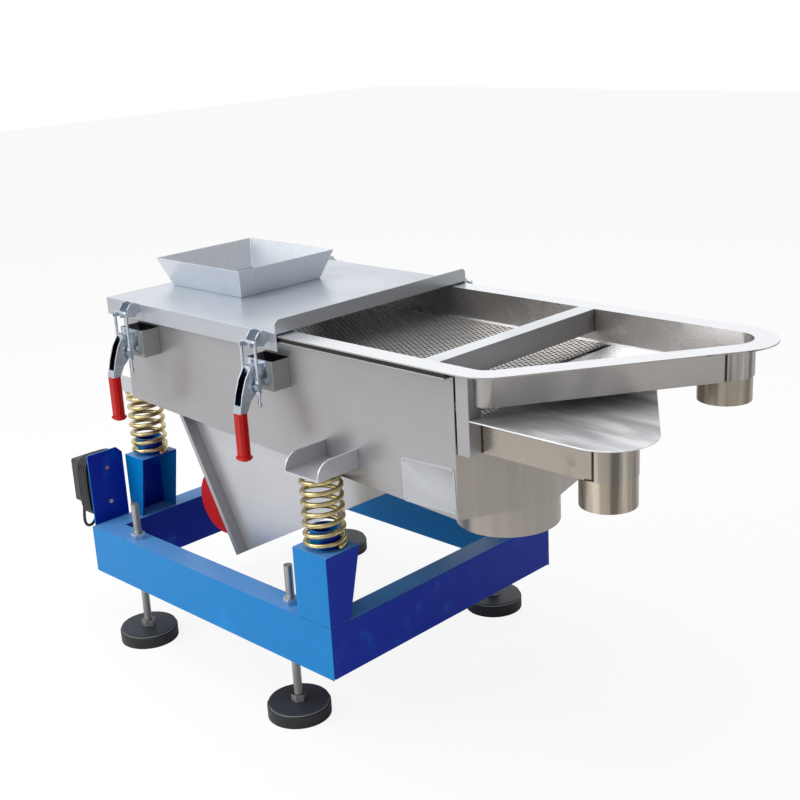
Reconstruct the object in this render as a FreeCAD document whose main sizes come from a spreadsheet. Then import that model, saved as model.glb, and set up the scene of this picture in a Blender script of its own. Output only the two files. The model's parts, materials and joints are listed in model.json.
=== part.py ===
import FreeCAD, Part
import math
import os
import Sketcher
from types import SimpleNamespace

# Two-deck vibrating sieve.  X runs with the flow, from the feed hopper to the outlets, Z is up and the
# floor is Z = 0.  The pieces are drawn on stations: X = 0 is the lid's hopper-end edge, and Y = 0 is the
# machine's middle plane.  SHIFT then carries everything so that the origin is the middle of the footprint.

os.makedirs("parts", exist_ok=True)
Vector = FreeCAD.Vector
Rotation = FreeCAD.Rotation
Placement = FreeCAD.Placement
doc = FreeCAD.newDocument("vibrating_sieve")

# ---------------------------------------------------------------------------------- driving dimensions

DIMENSIONS = [
    # base frame
    ("frame_length", 748, "base frame, outside, along the flow"),
    ("post_margin", 2, "base frame and posts past the springs, across the flow"),
    ("frame_overhang", 72, "base frame past the lid's hopper-end edge"),
    ("rail_height", 102, "frame tube height"),
    ("rail_width", 50, "frame tube width"),
    ("rail_wall", 4, "frame tube wall"),
    ("floor_gap", 124, "floor to the underside of the frame"),
    ("foot_inset", 134, "foot centre from the end of the frame"),
    # spring posts
    ("post_height", 134, "spring post above the frame"),
    ("post_width", 88, "spring post web"),
    ("post_wall", 4, "spring post sheet"),
    ("post_depth_top", 81, "discharge post flange at its top"),
    ("post_depth_foot", 49, "discharge post flange at its foot"),
    ("end_post_depth_top", 66, "hopper-end post flange at its top"),
    ("end_post_depth_foot", 42, "hopper-end post flange at its foot"),
    ("end_post_spread", 162, "hopper-end post from the middle plane"),
    ("spigot_height", 36, "spigot inside the spring"),
    ("spigot_clearance", 3, "spigot to the inside of the spring"),
    # springs
    ("spring_diameter", 78, "spring outside diameter"),
    ("spring_wire", 9, "spring wire"),
    ("spring_turns", 8, "spring turns, with a closed one at each end"),
    ("spring_closed_gap", 0.6, "gap inside a closed turn"),
    ("spring_facets", 8, "flats in one turn of a spring"),
    ("spring_length", 146, "spring between its seats"),
    ("spring_clearance", 2, "spring to the box wall beside it"),
    # levelling feet
    ("pad_radius", 60, "rubber foot"),
    ("pad_height", 28, "rubber foot"),
    ("stud_radius", 8, "levelling stud"),
    ("stud_reach", 77, "stud above the frame"),
    ("nut_flats", 24, "nut across its flats"),
    ("nut_height", 13, "nut height"),
    ("bore_clearance", 0.05, "running clearance on a radius"),
    ("hole_clearance", 1, "loose hole clearance on a radius"),
    # sieve box
    ("box_start", 15, "hopper-end wall of the box"),
    ("box_end", 912, "discharge edge of the side plates"),
    ("box_half_width", 225, "outside of a side plate from the middle plane"),
    ("box_sheet", 3, "box sheet"),
    ("box_lift", 4, "underside of the box above the spring seats, at the hopper end"),
    ("box_depth", 198.5, "side plate at the hopper end"),
    ("pan_fall", 45, "fall of the box's underside from end to end"),
    ("flange_width", 20, "top flange of the side plates"),
    ("seal_height", 8, "rubber strip between the box and the top tray"),
    ("ledge_width", 40, "ledge that carries the second tray"),
    ("bottom_margin", 14, "tray bottom left round its screen"),
    # trays
    ("tray_sheet", 2.5, "tray sheet"),
    ("tray_depth", 60, "top tray"),
    ("rim_overhang", 2, "top tray rim past the side plates' flanges"),
    ("rim_half_width", "=box_half_width + flange_width + rim_overhang", "top tray rim from the middle plane"),
    ("rim_flange", 40, "width of the rim"),
    ("rim_corner", 76, "rounding of the rim's corner"),
    ("diagonal_angle", 34.7, "slanted tray side from the Y axis"),
    ("top_outlet_past", 248, "top outlet past the side plates' end"),
    ("top_outlet_x", "=box_end + top_outlet_past", "top outlet station"),
    ("outlet_radius", 45, "outlet spout, outside"),
    ("spout_wall", 2, "outlet spout wall"),
    ("spout_step", 1, "sheet round a spout past the spout's outside"),
    ("top_spout_length", 103, "top spout below the rim"),
    ("screen_sheet", 1.5, "perforated screen sheet"),
    ("screen_past", 3, "perforated part of the decks past the side plates' end"),
    ("screen_reach", "=box_end + screen_past", "end of the perforated part of the decks"),
    ("hole_diameter", 46, "screen hole; the real ones are finer and more"),
    ("hole_pitch", 64, "screen holes, middle to middle, in staggered rows"),
    ("crossbar_back", 62, "tray crossbar back from the side plates' end"),
    ("crossbar_x", "=box_end - crossbar_back", "tray crossbar station"),
    ("crossbar_width", 34, "tray crossbar, flat leg"),
    ("crossbar_drop", 42, "tray crossbar, upright leg"),
    ("second_drop", 79, "top tray rim down to the second tray's cover"),
    ("second_depth", 62, "second tray"),
    ("second_half_width", "=box_half_width - cheek_reach", "second tray from the middle plane"),
    ("second_outlet_past", 238, "second outlet past the side plates' end"),
    ("second_outlet_x", "=box_end + second_outlet_past", "second outlet station"),
    ("second_spout_length", 111, "second spout below the cover"),
    ("cover_margin", 30, "cover past the second tray's walls"),
    # bottom pan and its outlet
    ("nose_radius", 93, "rounded end of the bottom chute"),
    ("nose_back", 30, "bottom outlet back from the side plates' end"),
    ("nose_x", "=box_end - nose_back", "bottom outlet station"),
    ("nose_y", -65, "bottom outlet from the middle plane"),
    ("drain_radius", 90, "bottom outlet spout, outside"),
    ("drain_drop", 55.5, "bottom outlet below the pan at its centre"),
    ("drain_length", 45, "plain part of the bottom outlet"),
    ("cheek_gap", 4, "slot between a side plate and its end cheek"),
    ("cheek_width", 26, "end cheek"),
    ("cheek_reach", 30, "end cheek in from the side plate's outside"),
    # lid and feed hopper
    ("lid_length", 522, "lid along the flow"),
    ("lid_sheet", 2.5, "lid sheet"),
    ("lid_clearance", 0.5, "lid skirt to the tray rim"),
    ("lid_width", "=2 * (rim_half_width + lid_clearance + lid_sheet)", "lid across the flow"),
    ("lid_skirt", 34, "turned-down edge of the lid"),
    ("lid_upstand", 24, "turned-up edge at the lid's discharge end"),
    ("lid_corner", 10, "rounded corners of the turned-up edge"),
    ("gasket_height", 3, "rubber strip under the lid"),
    ("gasket_width", 12, "rubber strip under the lid"),
    ("hopper_x", 140, "feed hopper centre"),
    ("hopper_mouth_length", 268, "feed hopper at its rim"),
    ("hopper_mouth_width", 251, "feed hopper at its rim"),
    ("hopper_foot_length", 220, "feed hopper at the lid"),
    ("hopper_foot_width", 209, "feed hopper at the lid"),
    ("hopper_height", 59, "feed hopper"),
    # spring seats
    ("seat_width", 86, "spring seat base"),
    ("seat_sheet", 4, "spring seat sheet"),
    ("seat_flange", 34, "spring seat side flange"),
    ("seat_lip", 16, "spring seat past the spring"),
    ("seat_offset", 12, "side seats past the spring, along the flow"),
    # vibration motor and its mount
    ("mount_x", 188, "station at which the motor plate is measured"),
    ("mount_drop", 27.3, "motor plate's back below the box's underside at mount_x"),
    ("mount_angle", 61.5, "slope of the motor plate"),
    ("mount_length", 269, "motor plate down its slope from mount_x"),
    ("motor_plate", 10, "motor plate thickness"),
    ("gusset_sheet", 4, "gusset plate"),
    ("gusset_inset", 28, "outside of a gusset in from the side plate's outside"),
    ("gusset_spread", "=box_half_width - gusset_inset", "outside of a gusset from the middle plane"),
    ("motor_radius", 69, "motor covers"),
    ("motor_barrel", 60, "motor barrel radius"),
    ("motor_length", 290, "motor over its covers"),
    ("motor_cover", 62, "one motor cover"),
    ("cover_sheet", 2.5, "motor cover sheet"),
    ("motor_drop", 156, "motor centre down the plate's slope"),
    ("motor_foot", 19, "motor foot below its covers"),
    ("motor_collar", 12, "full-width band at each end of the barrel"),
    ("foot_spread", 104, "between the middles of the motor's feet"),
    ("foot_strap", 24, "width of a motor foot"),
    ("foot_lift", 14, "thickness of a motor foot at its edge"),
    ("shaft_radius", 12, "motor shaft"),
    ("weight_radius", 54, "eccentric weight"),
    ("weight_thickness", 26, "eccentric weight"),
    ("weight_gap", 8, "eccentric weight to the barrel, and shaft end to its cover"),
    ("weight_flat", 6, "flat of an eccentric weight above the shaft's middle"),
    # toggle latches
    ("latch_first", 98, "first pair of latches"),
    ("latch_inset", 35, "second pair of latches from the lid's discharge end"),
    ("bracket_width", 72, "latch bracket"),
    ("bracket_depth", 40, "latch bracket off the side plate"),
    ("bracket_height", 54, "latch bracket"),
    ("bracket_sheet", 2.5, "latch bracket sheet"),
    ("bracket_drop", 14, "middle of the latch bracket below the pivot"),
    ("pivot_standoff", 20, "lever pivot off the bracket's face"),
    ("pivot_drop", 45.5, "lever pivot below the top of the side plates"),
    ("pivot_radius", 4, "lever pivot pin"),
    ("toggle_radius", 30, "lever pivot to the U-bolt's trunnion"),
    ("trunnion_radius", 4, "U-bolt trunnion"),
    ("bolt_length", 80, "trunnion to the bar of the U-bolt"),
    ("bolt_rod", 3, "U-bolt rod radius"),
    ("bolt_half_width", 19, "U-bolt leg from its middle"),
    ("lever_gap", 8, "lever side plate from the middle"),
    ("lever_sheet", 2.5, "lever side plate"),
    ("lever_strap", 8, "half the width of a lever side plate at the grip"),
    ("base_width", 48, "latch base plate"),
    ("base_above", 14, "latch base plate above the pivot"),
    ("base_below", 30, "latch base plate below the pivot"),
    ("base_sheet", 3, "latch base plate"),
    ("ear_reach", 7, "pivot ears round the pivot"),
    ("screw_radius", 5, "head of a latch screw"),
    ("screw_inset", 7, "latch screw from the edges of the base plate"),
    ("leg_reach", 36, "leg of the U-bolt below its trunnion"),
    ("grip_drop", 73, "top of the grip below the pivot"),
    ("grip_out", 30, "grip outwards of the pivot"),
    ("grip_length", 87, "hand grip"),
    ("grip_depth", 19, "hand grip, outwards"),
    ("grip_skin", 1.5, "grip past the lever's side plates"),
    ("grip_bead", 2, "bead of the grip past its side"),
    ("hook_width", 28, "keeper hook on the lid"),
    ("hook_sheet", 3, "keeper hook ear"),
    ("hook_foot", 16, "keeper hook down the lid's skirt"),
    ("hook_play", 0.3, "U-bolt bar to the hook"),
    # switch
    ("panel_width", 86, "switch plate"),
    ("panel_height", 156, "switch plate"),
    ("panel_sheet", 4, "switch plate"),
    ("panel_overlap", 44, "switch plate down over the end rail"),
    ("panel_y", 255, "switch plate centre from the middle plane"),
    ("switch_width", 62, "switch box"),
    ("switch_height", 96, "switch box"),
    ("switch_depth", 84, "switch box"),
    ("switch_corner", 5, "rounding of the switch box"),
    ("panel_screw_head", 3, "height of a panel screw's head"),
    ("cable_gap", 2, "wound cable to the switch plate"),
    ("button_radius", 11, "push button"),
    ("button_reach", 10, "push button past the box"),
    ("button_travel", 4, "push button travel"),
    ("button_well", 16, "well behind a push button"),
    ("button_spread", 44, "between the middles of the two buttons"),
    ("panel_corner", 14, "cut corner of the switch plate"),
    ("panel_screw", 4.5, "head of a panel screw"),
    ("cable_diameter", 7.5, "supply cable"),
    ("cable_layers", 2, "layers of the wound cable"),
    ("cable_rows", 5, "turns side by side in a layer"),
]

sheet = doc.addObject("Spreadsheet::Sheet", "Dims")
for row, (alias, _, note) in enumerate(DIMENSIONS, 1):
    sheet.set(f"A{row}", alias)
    sheet.set(f"C{row}", note)
    sheet.setAlias(f"B{row}", alias)
for row, (_, value, _) in enumerate(DIMENSIONS, 1):
    sheet.set(f"B{row}", str(value))
doc.recompute()
d = SimpleNamespace(**{alias: float(sheet.get(alias)) for alias, _, _ in DIMENSIONS})

# -------------------------------------------------------------------------------------- derived layout

EDGE = 0.5
FRAME_START = -d.frame_overhang
FRAME_END = FRAME_START + d.frame_length
RAIL_TOP = d.floor_gap + d.rail_height
POST_TOP = RAIL_TOP + d.post_height
SEAT_Z = POST_TOP + d.spring_length
PAN_HOPPER = SEAT_Z + d.box_lift
PAN_DISCHARGE = PAN_HOPPER - d.pan_fall
PAN_SLOPE = d.pan_fall / (d.box_end - d.box_start)
BOX_TOP = PAN_HOPPER + d.box_depth
RIM_UNDER = BOX_TOP + d.seal_height
RIM_TOP = RIM_UNDER + d.tray_sheet
LID_UNDER = RIM_TOP + d.gasket_height
LID_TOP = LID_UNDER + d.lid_sheet
TRAY_HALF = d.rim_half_width - d.rim_flange
COVER_Z = RIM_TOP - d.second_drop
SECOND_BOTTOM = COVER_Z - d.second_depth
SPRING_RADIUS = d.spring_diameter / 2
FRAME_HALF = d.box_half_width + d.spring_clearance + d.spring_diameter + d.post_margin
TOP_OUTLET_Y = TRAY_HALF - d.outlet_radius
SECOND_OUTLET_Y = -(d.second_half_width - d.outlet_radius - d.spout_step)
TIP_X = d.top_outlet_x + d.outlet_radius + d.rim_flange
TRAY_START = d.lid_sheet + EDGE
CABLE_BUILD = d.cable_diameter * d.cable_layers
PANEL_FACE = FRAME_START - d.panel_sheet
SWITCH_Z = RAIL_TOP + d.panel_height / 2 + 2
BUTTON_END = PANEL_FACE - d.switch_depth - d.button_reach
SHIFT = Vector(-(BUTTON_END + TIP_X) / 2, 0, 0)
PIVOT_OUT = d.box_half_width + d.bracket_depth + d.pivot_standoff
PIVOT_Z = BOX_TOP - d.pivot_drop
BAR_RISE = d.bolt_length - d.toggle_radius
LATCH_STATIONS = (("hopper", d.latch_first), ("discharge", d.lid_length - d.latch_inset))
SIDES = (("near", -1), ("far", 1))


def pan_z(x):
    """Underside of the box at station x."""
    return PAN_HOPPER - PAN_SLOPE * (x - d.box_start)


# ---------------------------------------------------------------------------------------------- helpers

NODES = []


def node(obj, name, where=(0, 0, 0), rotation=None):
    """Names an object as a finished piece and puts it on its stations."""
    obj.Label = name
    obj.Placement = Placement(Vector(*where) + SHIFT, rotation or Rotation()) * obj.Placement
    NODES.append(obj)
    return obj


def body(name, where=(0, 0, 0), rotation=None, keep=True):
    b = doc.addObject("PartDesign::Body", name)
    if keep:
        node(b, name, where, rotation)
    return b


def sketch(b, plane, height=0.0):
    """A sketch on one of the body's own origin planes, moved along its normal."""
    sk = b.newObject("Sketcher::SketchObject", b.Name + "_sketch")
    base = next(f for f in b.Origin.OriginFeatures if f.Role == plane + "_Plane")
    sk.AttachmentSupport = [(base, "")]
    sk.MapMode = "FlatFace"
    sk.AttachmentOffset = Placement(Vector(0, 0, height), Rotation())
    return sk


def outline(sk, points):
    """A closed outline.  A point is (x, y), or (x, y, 'arc', mid_x, mid_y) for an arc that ends there."""
    flat = [Vector(p[0], p[1], 0) for p in points]
    first = len(sk.Geometry)
    for i, start in enumerate(flat):
        nxt = points[(i + 1) % len(points)]
        end = flat[(i + 1) % len(flat)]
        if len(nxt) > 2:
            sk.addGeometry(Part.Arc(start, Vector(nxt[3], nxt[4], 0), end), False)
        else:
            sk.addGeometry(Part.LineSegment(start, end), False)
    return first


def rectangle(sk, x, y, width, height, centre=(True, True)):
    """A rectangle whose width and height follow expressions: (value, expression)."""
    w, h_ = width[0], height[0]
    x0 = x - w / 2 if centre[0] else x
    y0 = y - h_ / 2 if centre[1] else y
    g = len(sk.Geometry)
    corners = [Vector(x0, y0, 0), Vector(x0 + w, y0, 0), Vector(x0 + w, y0 + h_, 0), Vector(x0, y0 + h_, 0)]
    for i in range(4):
        sk.addGeometry(Part.LineSegment(corners[i], corners[(i + 1) % 4]), False)
    for i in range(4):
        sk.addConstraint(Sketcher.Constraint("Coincident", g + i, 2, g + (i + 1) % 4, 1))
        sk.addConstraint(Sketcher.Constraint("Horizontal" if i % 2 == 0 else "Vertical", g + i))
    for geo, value, expression, kind in (
        (g, w, width[1], "DistanceX"),
        (g + 1, h_, height[1], "DistanceY"),
    ):
        number = sk.addConstraint(Sketcher.Constraint(kind, geo, 1, geo, 2, value))
        sk.setExpression(f"Constraints[{number}]", expression)


def circle(sk, x, y, radius, expression):
    g = sk.addGeometry(Part.Circle(Vector(x, y, 0), Vector(0, 0, 1), radius), False)
    number = sk.addConstraint(Sketcher.Constraint("Radius", g, radius))
    sk.setExpression(f"Constraints[{number}]", expression)


def pad(b, sk, length, midplane=False, reverse=False):
    p = b.newObject("PartDesign::Pad", b.Name + "_pad")
    p.Profile = sk
    p.Midplane = midplane
    p.Reversed = reverse
    p.setExpression("Length", length)
    return p


def pocket(b, sk, length=None, midplane=False, reverse=False):
    p = b.newObject("PartDesign::Pocket", b.Name + "_pocket")
    p.Profile = sk
    if length is None:
        p.Type = "ThroughAll"
    else:
        p.setExpression("Length", length)
    p.Midplane = midplane
    p.Reversed = reverse
    return p


def revolve(b, sk, axis="V_Axis"):
    r = b.newObject("PartDesign::Revolution", b.Name + "_revolution")
    r.Profile = sk
    r.ReferenceAxis = (sk, [axis])
    r.Angle = 360
    return r


def made(name, shape, where=(0, 0, 0), rotation=None):
    """A piece whose shape is set directly."""
    f = doc.addObject("Part::Feature", name)
    f.Shape = shape
    return node(f, name, where, rotation)


def copies(name, template, places):
    """A group of separate solids, one at each (point, rotation)."""
    doc.recompute()
    solids = []
    for point, rotation in places:
        solid = template.Shape.copy()
        solid.Placement = Placement(Vector(*point), rotation)
        solids.append(solid)
    return made(name, Part.makeCompound(solids))


def box_at(x0, x1, y0, y1, z0, z1):
    return Part.makeBox(x1 - x0, y1 - y0, z1 - z0, Vector(x0, y0, z0))


def tube(radius, wall, z0, z1, x=0.0, y=0.0):
    outer = Part.makeCylinder(radius, z1 - z0, Vector(x, y, z0))
    return outer.cut(Part.makeCylinder(radius - wall, z1 - z0, Vector(x, y, z0)))


def prism(points, z0, z1):
    """A solid on an outline in the XY plane; arcs as in outline()."""
    edges = []
    for i, p in enumerate(points):
        nxt = points[(i + 1) % len(points)]
        start, end = Vector(p[0], p[1], z0), Vector(nxt[0], nxt[1], z0)
        if len(nxt) > 2:
            edges.append(Part.Arc(start, Vector(nxt[3], nxt[4], z0), end).toShape())
        else:
            edges.append(Part.makeLine(start, end))
    return Part.Face(Part.Wire(edges)).extrude(Vector(0, 0, z1 - z0))


def side_turn(side):
    """The rotation that turns a piece drawn for the near side to a side."""
    return Rotation(Vector(0, 0, 1), 0 if side < 0 else 180)


# ------------------------------------------------------------------------------------------- base frame


def rail(name, length, where, turn, feet=()):
    """A mitred rectangular tube, its outer face on the local X axis."""
    b = body(name, where, Rotation(Vector(0, 0, 1), turn))
    plan = sketch(b, "XY")
    half = length / 2
    short = half - d.rail_width
    outline(plan, [(-half, 0), (half, 0), (short, d.rail_width), (-short, d.rail_width)])
    pad(b, plan, "Dims.rail_height")
    hollow = sketch(b, "YZ")
    rectangle(
        hollow,
        d.rail_width / 2,
        d.rail_height / 2,
        (d.rail_width - 2 * d.rail_wall, "Dims.rail_width - 2 * Dims.rail_wall"),
        (d.rail_height - 2 * d.rail_wall, "Dims.rail_height - 2 * Dims.rail_wall"),
    )
    pocket(b, hollow, "2 * Dims.frame_length", midplane=True)
    if feet:
        holes = sketch(b, "XY")
        for x in feet:
            circle(holes, x, d.rail_width / 2, d.stud_radius + d.hole_clearance,
                   "Dims.stud_radius + Dims.hole_clearance")
        pocket(b, holes, "2 * Dims.rail_height", midplane=True)


def base_frame():
    middle = (FRAME_START + FRAME_END) / 2
    reach = d.frame_length / 2 - d.foot_inset
    rail("near_rail", d.frame_length, (middle, -FRAME_HALF, d.floor_gap), 0, (-reach, reach))
    rail("far_rail", d.frame_length, (middle, FRAME_HALF, d.floor_gap), 180, (-reach, reach))
    rail("discharge_end_rail", 2 * FRAME_HALF, (FRAME_END, 0, d.floor_gap), 90)
    rail("hopper_end_rail", 2 * FRAME_HALF, (FRAME_START, 0, d.floor_gap), -90)


def spring_post(name, top_depth, foot_depth, spring_depth):
    """A folded channel, open on the inside, closed on top, with the spigot that centres the spring."""
    b = body(name, keep=False)
    flank = sketch(b, "YZ")
    outline(flank, [(0, 0), (foot_depth, 0), (top_depth, d.post_height), (0, d.post_height)])
    pad(b, flank, "Dims.post_width", midplane=True)
    inside = sketch(b, "YZ")
    height = d.post_height - d.post_wall
    outline(inside, [(d.post_wall, 0), (top_depth * 2, 0), (top_depth * 2, height), (d.post_wall, height)])
    pocket(b, inside, "Dims.post_width - 2 * Dims.post_wall", midplane=True)
    spigot = sketch(b, "XY", d.post_height)
    radius = SPRING_RADIUS - d.spring_wire - d.spigot_clearance
    bound = "Dims.spring_diameter / 2 - Dims.spring_wire - Dims.spigot_clearance"
    circle(spigot, 0, spring_depth, radius, bound)
    circle(spigot, 0, spring_depth, radius - d.post_wall, bound + " - Dims.post_wall")
    pad(b, spigot, "Dims.spigot_height")
    return b


SPRING_X = FRAME_END - d.post_width / 2
SPRING_Y = d.box_half_width + d.spring_clearance + SPRING_RADIUS
END_SPRING_X = FRAME_START + d.end_post_depth_top / 2
SPRING_PLACES = [
    (SPRING_X, -SPRING_Y),
    (SPRING_X, SPRING_Y),
    (END_SPRING_X, -d.end_post_spread),
    (END_SPRING_X, d.end_post_spread),
]


def spring_posts():
    post = spring_post("discharge_post", d.post_depth_top, d.post_depth_foot, FRAME_HALF - SPRING_Y)
    places = [((SPRING_X, side * FRAME_HALF, RAIL_TOP), side_turn(side)) for _, side in SIDES]
    copies("discharge_posts", post, places)
    end_post = spring_post(
        "hopper_post", d.end_post_depth_top, d.end_post_depth_foot, END_SPRING_X - FRAME_START
    )
    turn = Rotation(Vector(0, 0, 1), -90)
    places = [((FRAME_START, side * d.end_post_spread, RAIL_TOP), turn) for _, side in SIDES]
    copies("hopper_posts", end_post, places)


WIRE_SIDES = 5


def coil_rise(turn):
    """Height of the wire after so many turns: a closed turn at each end, even ones between them."""
    closed = d.spring_wire + d.spring_closed_gap
    pitch = (d.spring_length - d.spring_wire - 2 * closed) / (d.spring_turns - 2)
    last = d.spring_turns - 1
    return closed * (min(turn, 1) + max(turn - last, 0)) + pitch * (min(max(turn, 1), last) - 1)


def springs():
    """Round wire drawn as straight five-sided lengths along a helix."""
    radius = SPRING_RADIUS - d.spring_wire / 2
    rings = []
    for i in range(round(d.spring_turns * d.spring_facets) + 1):
        turn = i / d.spring_facets
        out = Vector(math.cos(2 * math.pi * turn), math.sin(2 * math.pi * turn), 0)
        centre = out * radius + Vector(0, 0, d.spring_wire / 2 + coil_rise(turn))
        rings.append([
            centre + (out * math.cos(a) + Vector(0, 0, math.sin(a))) * (d.spring_wire / 2)
            for a in (k * 2 * math.pi / WIRE_SIDES for k in range(WIRE_SIDES))
        ])
    faces = [Part.Face(Part.makePolygon(ring + ring[:1])) for ring in (rings[0], rings[-1])]
    for a, b in zip(rings, rings[1:]):
        for k in range(WIRE_SIDES):
            n = (k + 1) % WIRE_SIDES
            faces.append(Part.Face(Part.makePolygon([a[k], a[n], b[n], a[k]])))
            faces.append(Part.Face(Part.makePolygon([a[k], b[n], b[k], a[k]])))
    coil = doc.addObject("Part::Feature", "spring_coil")
    coil.Shape = Part.Solid(Part.Shell(faces))
    copies("springs", coil, [((x, y, POST_TOP), Rotation()) for x, y in SPRING_PLACES])


# ---------------------------------------------------------------------------------------- levelling feet


def hexagon(flats):
    reach = flats / math.sqrt(3)
    return [(reach * math.cos(math.radians(a)), reach * math.sin(math.radians(a))) for a in range(0, 360, 60)]


FOOT_Y = FRAME_HALF - d.rail_width / 2
FOOT_STATIONS = (("hopper", FRAME_START + d.foot_inset), ("discharge", FRAME_END - d.foot_inset))


def foot_pad(name, where):
    """Rubber disc under a pressed cap with a domed top."""
    b = body(name, where)
    profile = sketch(b, "XZ")
    r, top = d.pad_radius, d.pad_height
    outline(profile, [
        (0, 0), (r, 0), (r, top * 0.8), (r * 0.95, top * 0.84), (r * 0.95, top), (0, top),
    ])
    revolve(b, profile)


def foot_stud(name, where):
    """Threaded stud with the hexagon that turns it."""
    b = body(name, where)
    nut = sketch(b, "XY", d.pad_height)
    outline(nut, hexagon(d.nut_flats))
    pad(b, nut, "Dims.nut_height")
    shank = sketch(b, "XY", d.pad_height)
    circle(shank, 0, 0, d.stud_radius, "Dims.stud_radius")
    pad(b, shank, "Dims.floor_gap + Dims.rail_height + Dims.stud_reach - Dims.pad_height")
    b.Tip = b.Group[-1]


def levelling_feet():
    lock = body("lock_nut", keep=False)
    nut = sketch(lock, "XY")
    outline(nut, hexagon(d.nut_flats))
    pad(lock, nut, "Dims.nut_height")
    bore = sketch(lock, "XY")
    circle(bore, 0, 0, d.stud_radius + d.bore_clearance, "Dims.stud_radius + Dims.bore_clearance")
    pocket(lock, bore, "4 * Dims.nut_height", midplane=True)
    places = []
    for end, x in FOOT_STATIONS:
        for name, side in SIDES:
            foot_pad(f"foot_pad_{name}_{end}", (x, side * FOOT_Y, 0))
            foot_stud(f"foot_stud_{name}_{end}", (x, side * FOOT_Y, 0))
            places.append(((x, side * FOOT_Y, RAIL_TOP), Rotation()))
    copies("foot_lock_nuts", lock, places)


# ------------------------------------------------------------------------------------------- sieve box


def side_plate(name, side):
    """Sheet with a turned-out top flange and the inner ledge that carries the second tray."""
    b = body(name)
    outer = side * d.box_half_width
    inner = side * (d.box_half_width - d.box_sheet)
    face = sketch(b, "XZ", -inner)
    outline(face, [
        (d.box_start, PAN_HOPPER), (d.box_end, PAN_DISCHARGE), (d.box_end, BOX_TOP), (d.box_start, BOX_TOP),
    ])
    pad(b, face, "Dims.box_sheet", reverse=side > 0)
    flange = sketch(b, "XZ", -outer)
    rectangle(
        flange, d.box_start, BOX_TOP - d.box_sheet,
        (d.box_end - d.box_start, "Dims.box_end - Dims.box_start"),
        (d.box_sheet, "Dims.box_sheet"), (False, False),
    )
    pad(b, flange, "Dims.flange_width", reverse=side > 0)
    ledge = sketch(b, "XZ", -inner)
    rectangle(
        ledge, d.box_start + d.box_sheet, SECOND_BOTTOM - d.box_sheet,
        (d.box_end - d.box_start - d.box_sheet, "Dims.box_end - Dims.box_start - Dims.box_sheet"),
        (d.box_sheet, "Dims.box_sheet"), (False, False),
    )
    pad(b, ledge, "Dims.ledge_width", reverse=side < 0)


def hopper_end_wall():
    """End wall between the side plates, with a top flange turned outwards."""
    half = d.box_half_width - d.box_sheet
    face = d.box_start + d.box_sheet
    wall = box_at(d.box_start, face, -half, half, pan_z(face), BOX_TOP)
    flange = box_at(TRAY_START + EDGE, face, -half, half, BOX_TOP - d.box_sheet, BOX_TOP)
    made("hopper_end_wall", wall.fuse(flange).removeSplitter())


def nose_outline(margin):
    """Bottom chute beyond the side plates: tangents from both corners round the bottom outlet."""
    half = d.box_half_width - margin
    radius = d.nose_radius - margin
    centre = Vector(d.nose_x, d.nose_y, 0)
    touch = []
    for side in (-1, 1):
        corner = Vector(d.box_end, side * half, 0)
        away = corner - centre
        swing = math.acos(radius / away.Length)
        angle = math.atan2(away.y, away.x) - side * swing
        touch.append(centre + Vector(radius * math.cos(angle), radius * math.sin(angle), 0))
    tip = centre + Vector(radius, 0, 0)
    return [
        (d.box_end, half), (d.box_end, -half), (touch[0].x, touch[0].y),
        (touch[1].x, touch[1].y, "arc", tip.x, tip.y),
    ]


def pan_sheet(low, high, half):
    """A slab that follows the slope of the box's underside, between two offsets above it."""
    far = d.nose_x + d.nose_radius + EDGE
    start = d.box_start + d.box_sheet
    points = [
        Vector(start, 0, pan_z(start) + low), Vector(far, 0, pan_z(far) + low),
        Vector(far, 0, pan_z(far) + high), Vector(start, 0, pan_z(start) + high),
    ]
    slab = Part.Face(Part.makePolygon(points + points[:1])).extrude(Vector(0, 2 * half, 0))
    slab.translate(Vector(0, -half, 0))
    return slab


def bottom_pan():
    """Sloping floor of the box, run on under the chute, with the hole of the bottom outlet."""
    half = d.box_half_width - d.box_sheet
    inside = box_at(d.box_start, d.box_end, -half, half, 0, BOX_TOP)
    plan = inside.fuse(prism(nose_outline(d.box_sheet), 0, BOX_TOP))
    floor = pan_sheet(0, d.box_sheet, d.box_half_width).common(plan).removeSplitter()
    bore = Part.makeCylinder(d.drain_radius - d.spout_wall, BOX_TOP, Vector(d.nose_x, d.nose_y, 0))
    made("bottom_pan", floor.cut(bore))


def bottom_chute():
    """Rounded chute end and the wide spout below it, whose collar follows the pan."""
    far = d.nose_x + d.nose_radius
    shell = prism(nose_outline(0), 0, SECOND_BOTTOM)
    hollow = prism(nose_outline(d.box_sheet), 0, SECOND_BOTTOM - d.box_sheet)
    top = box_at(d.box_end - d.box_sheet, far, -d.box_half_width, d.box_half_width, 0, BOX_TOP)
    chute = shell.cut(hollow).common(top).cut(pan_sheet(-BOX_TOP, 0, d.box_half_width + EDGE))
    foot = pan_z(d.nose_x) - d.drain_drop
    spout = tube(d.drain_radius, d.spout_wall, foot, foot + d.drain_length, d.nose_x, d.nose_y)
    collar = tube(d.drain_radius + d.spout_step, d.spout_wall + d.spout_step, foot + d.drain_length,
                  pan_z(d.box_start), d.nose_x, d.nose_y)
    collar = collar.common(pan_sheet(-BOX_TOP, 0, d.box_half_width))
    made("bottom_chute", chute.fuse(spout).fuse(collar).removeSplitter())


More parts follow.
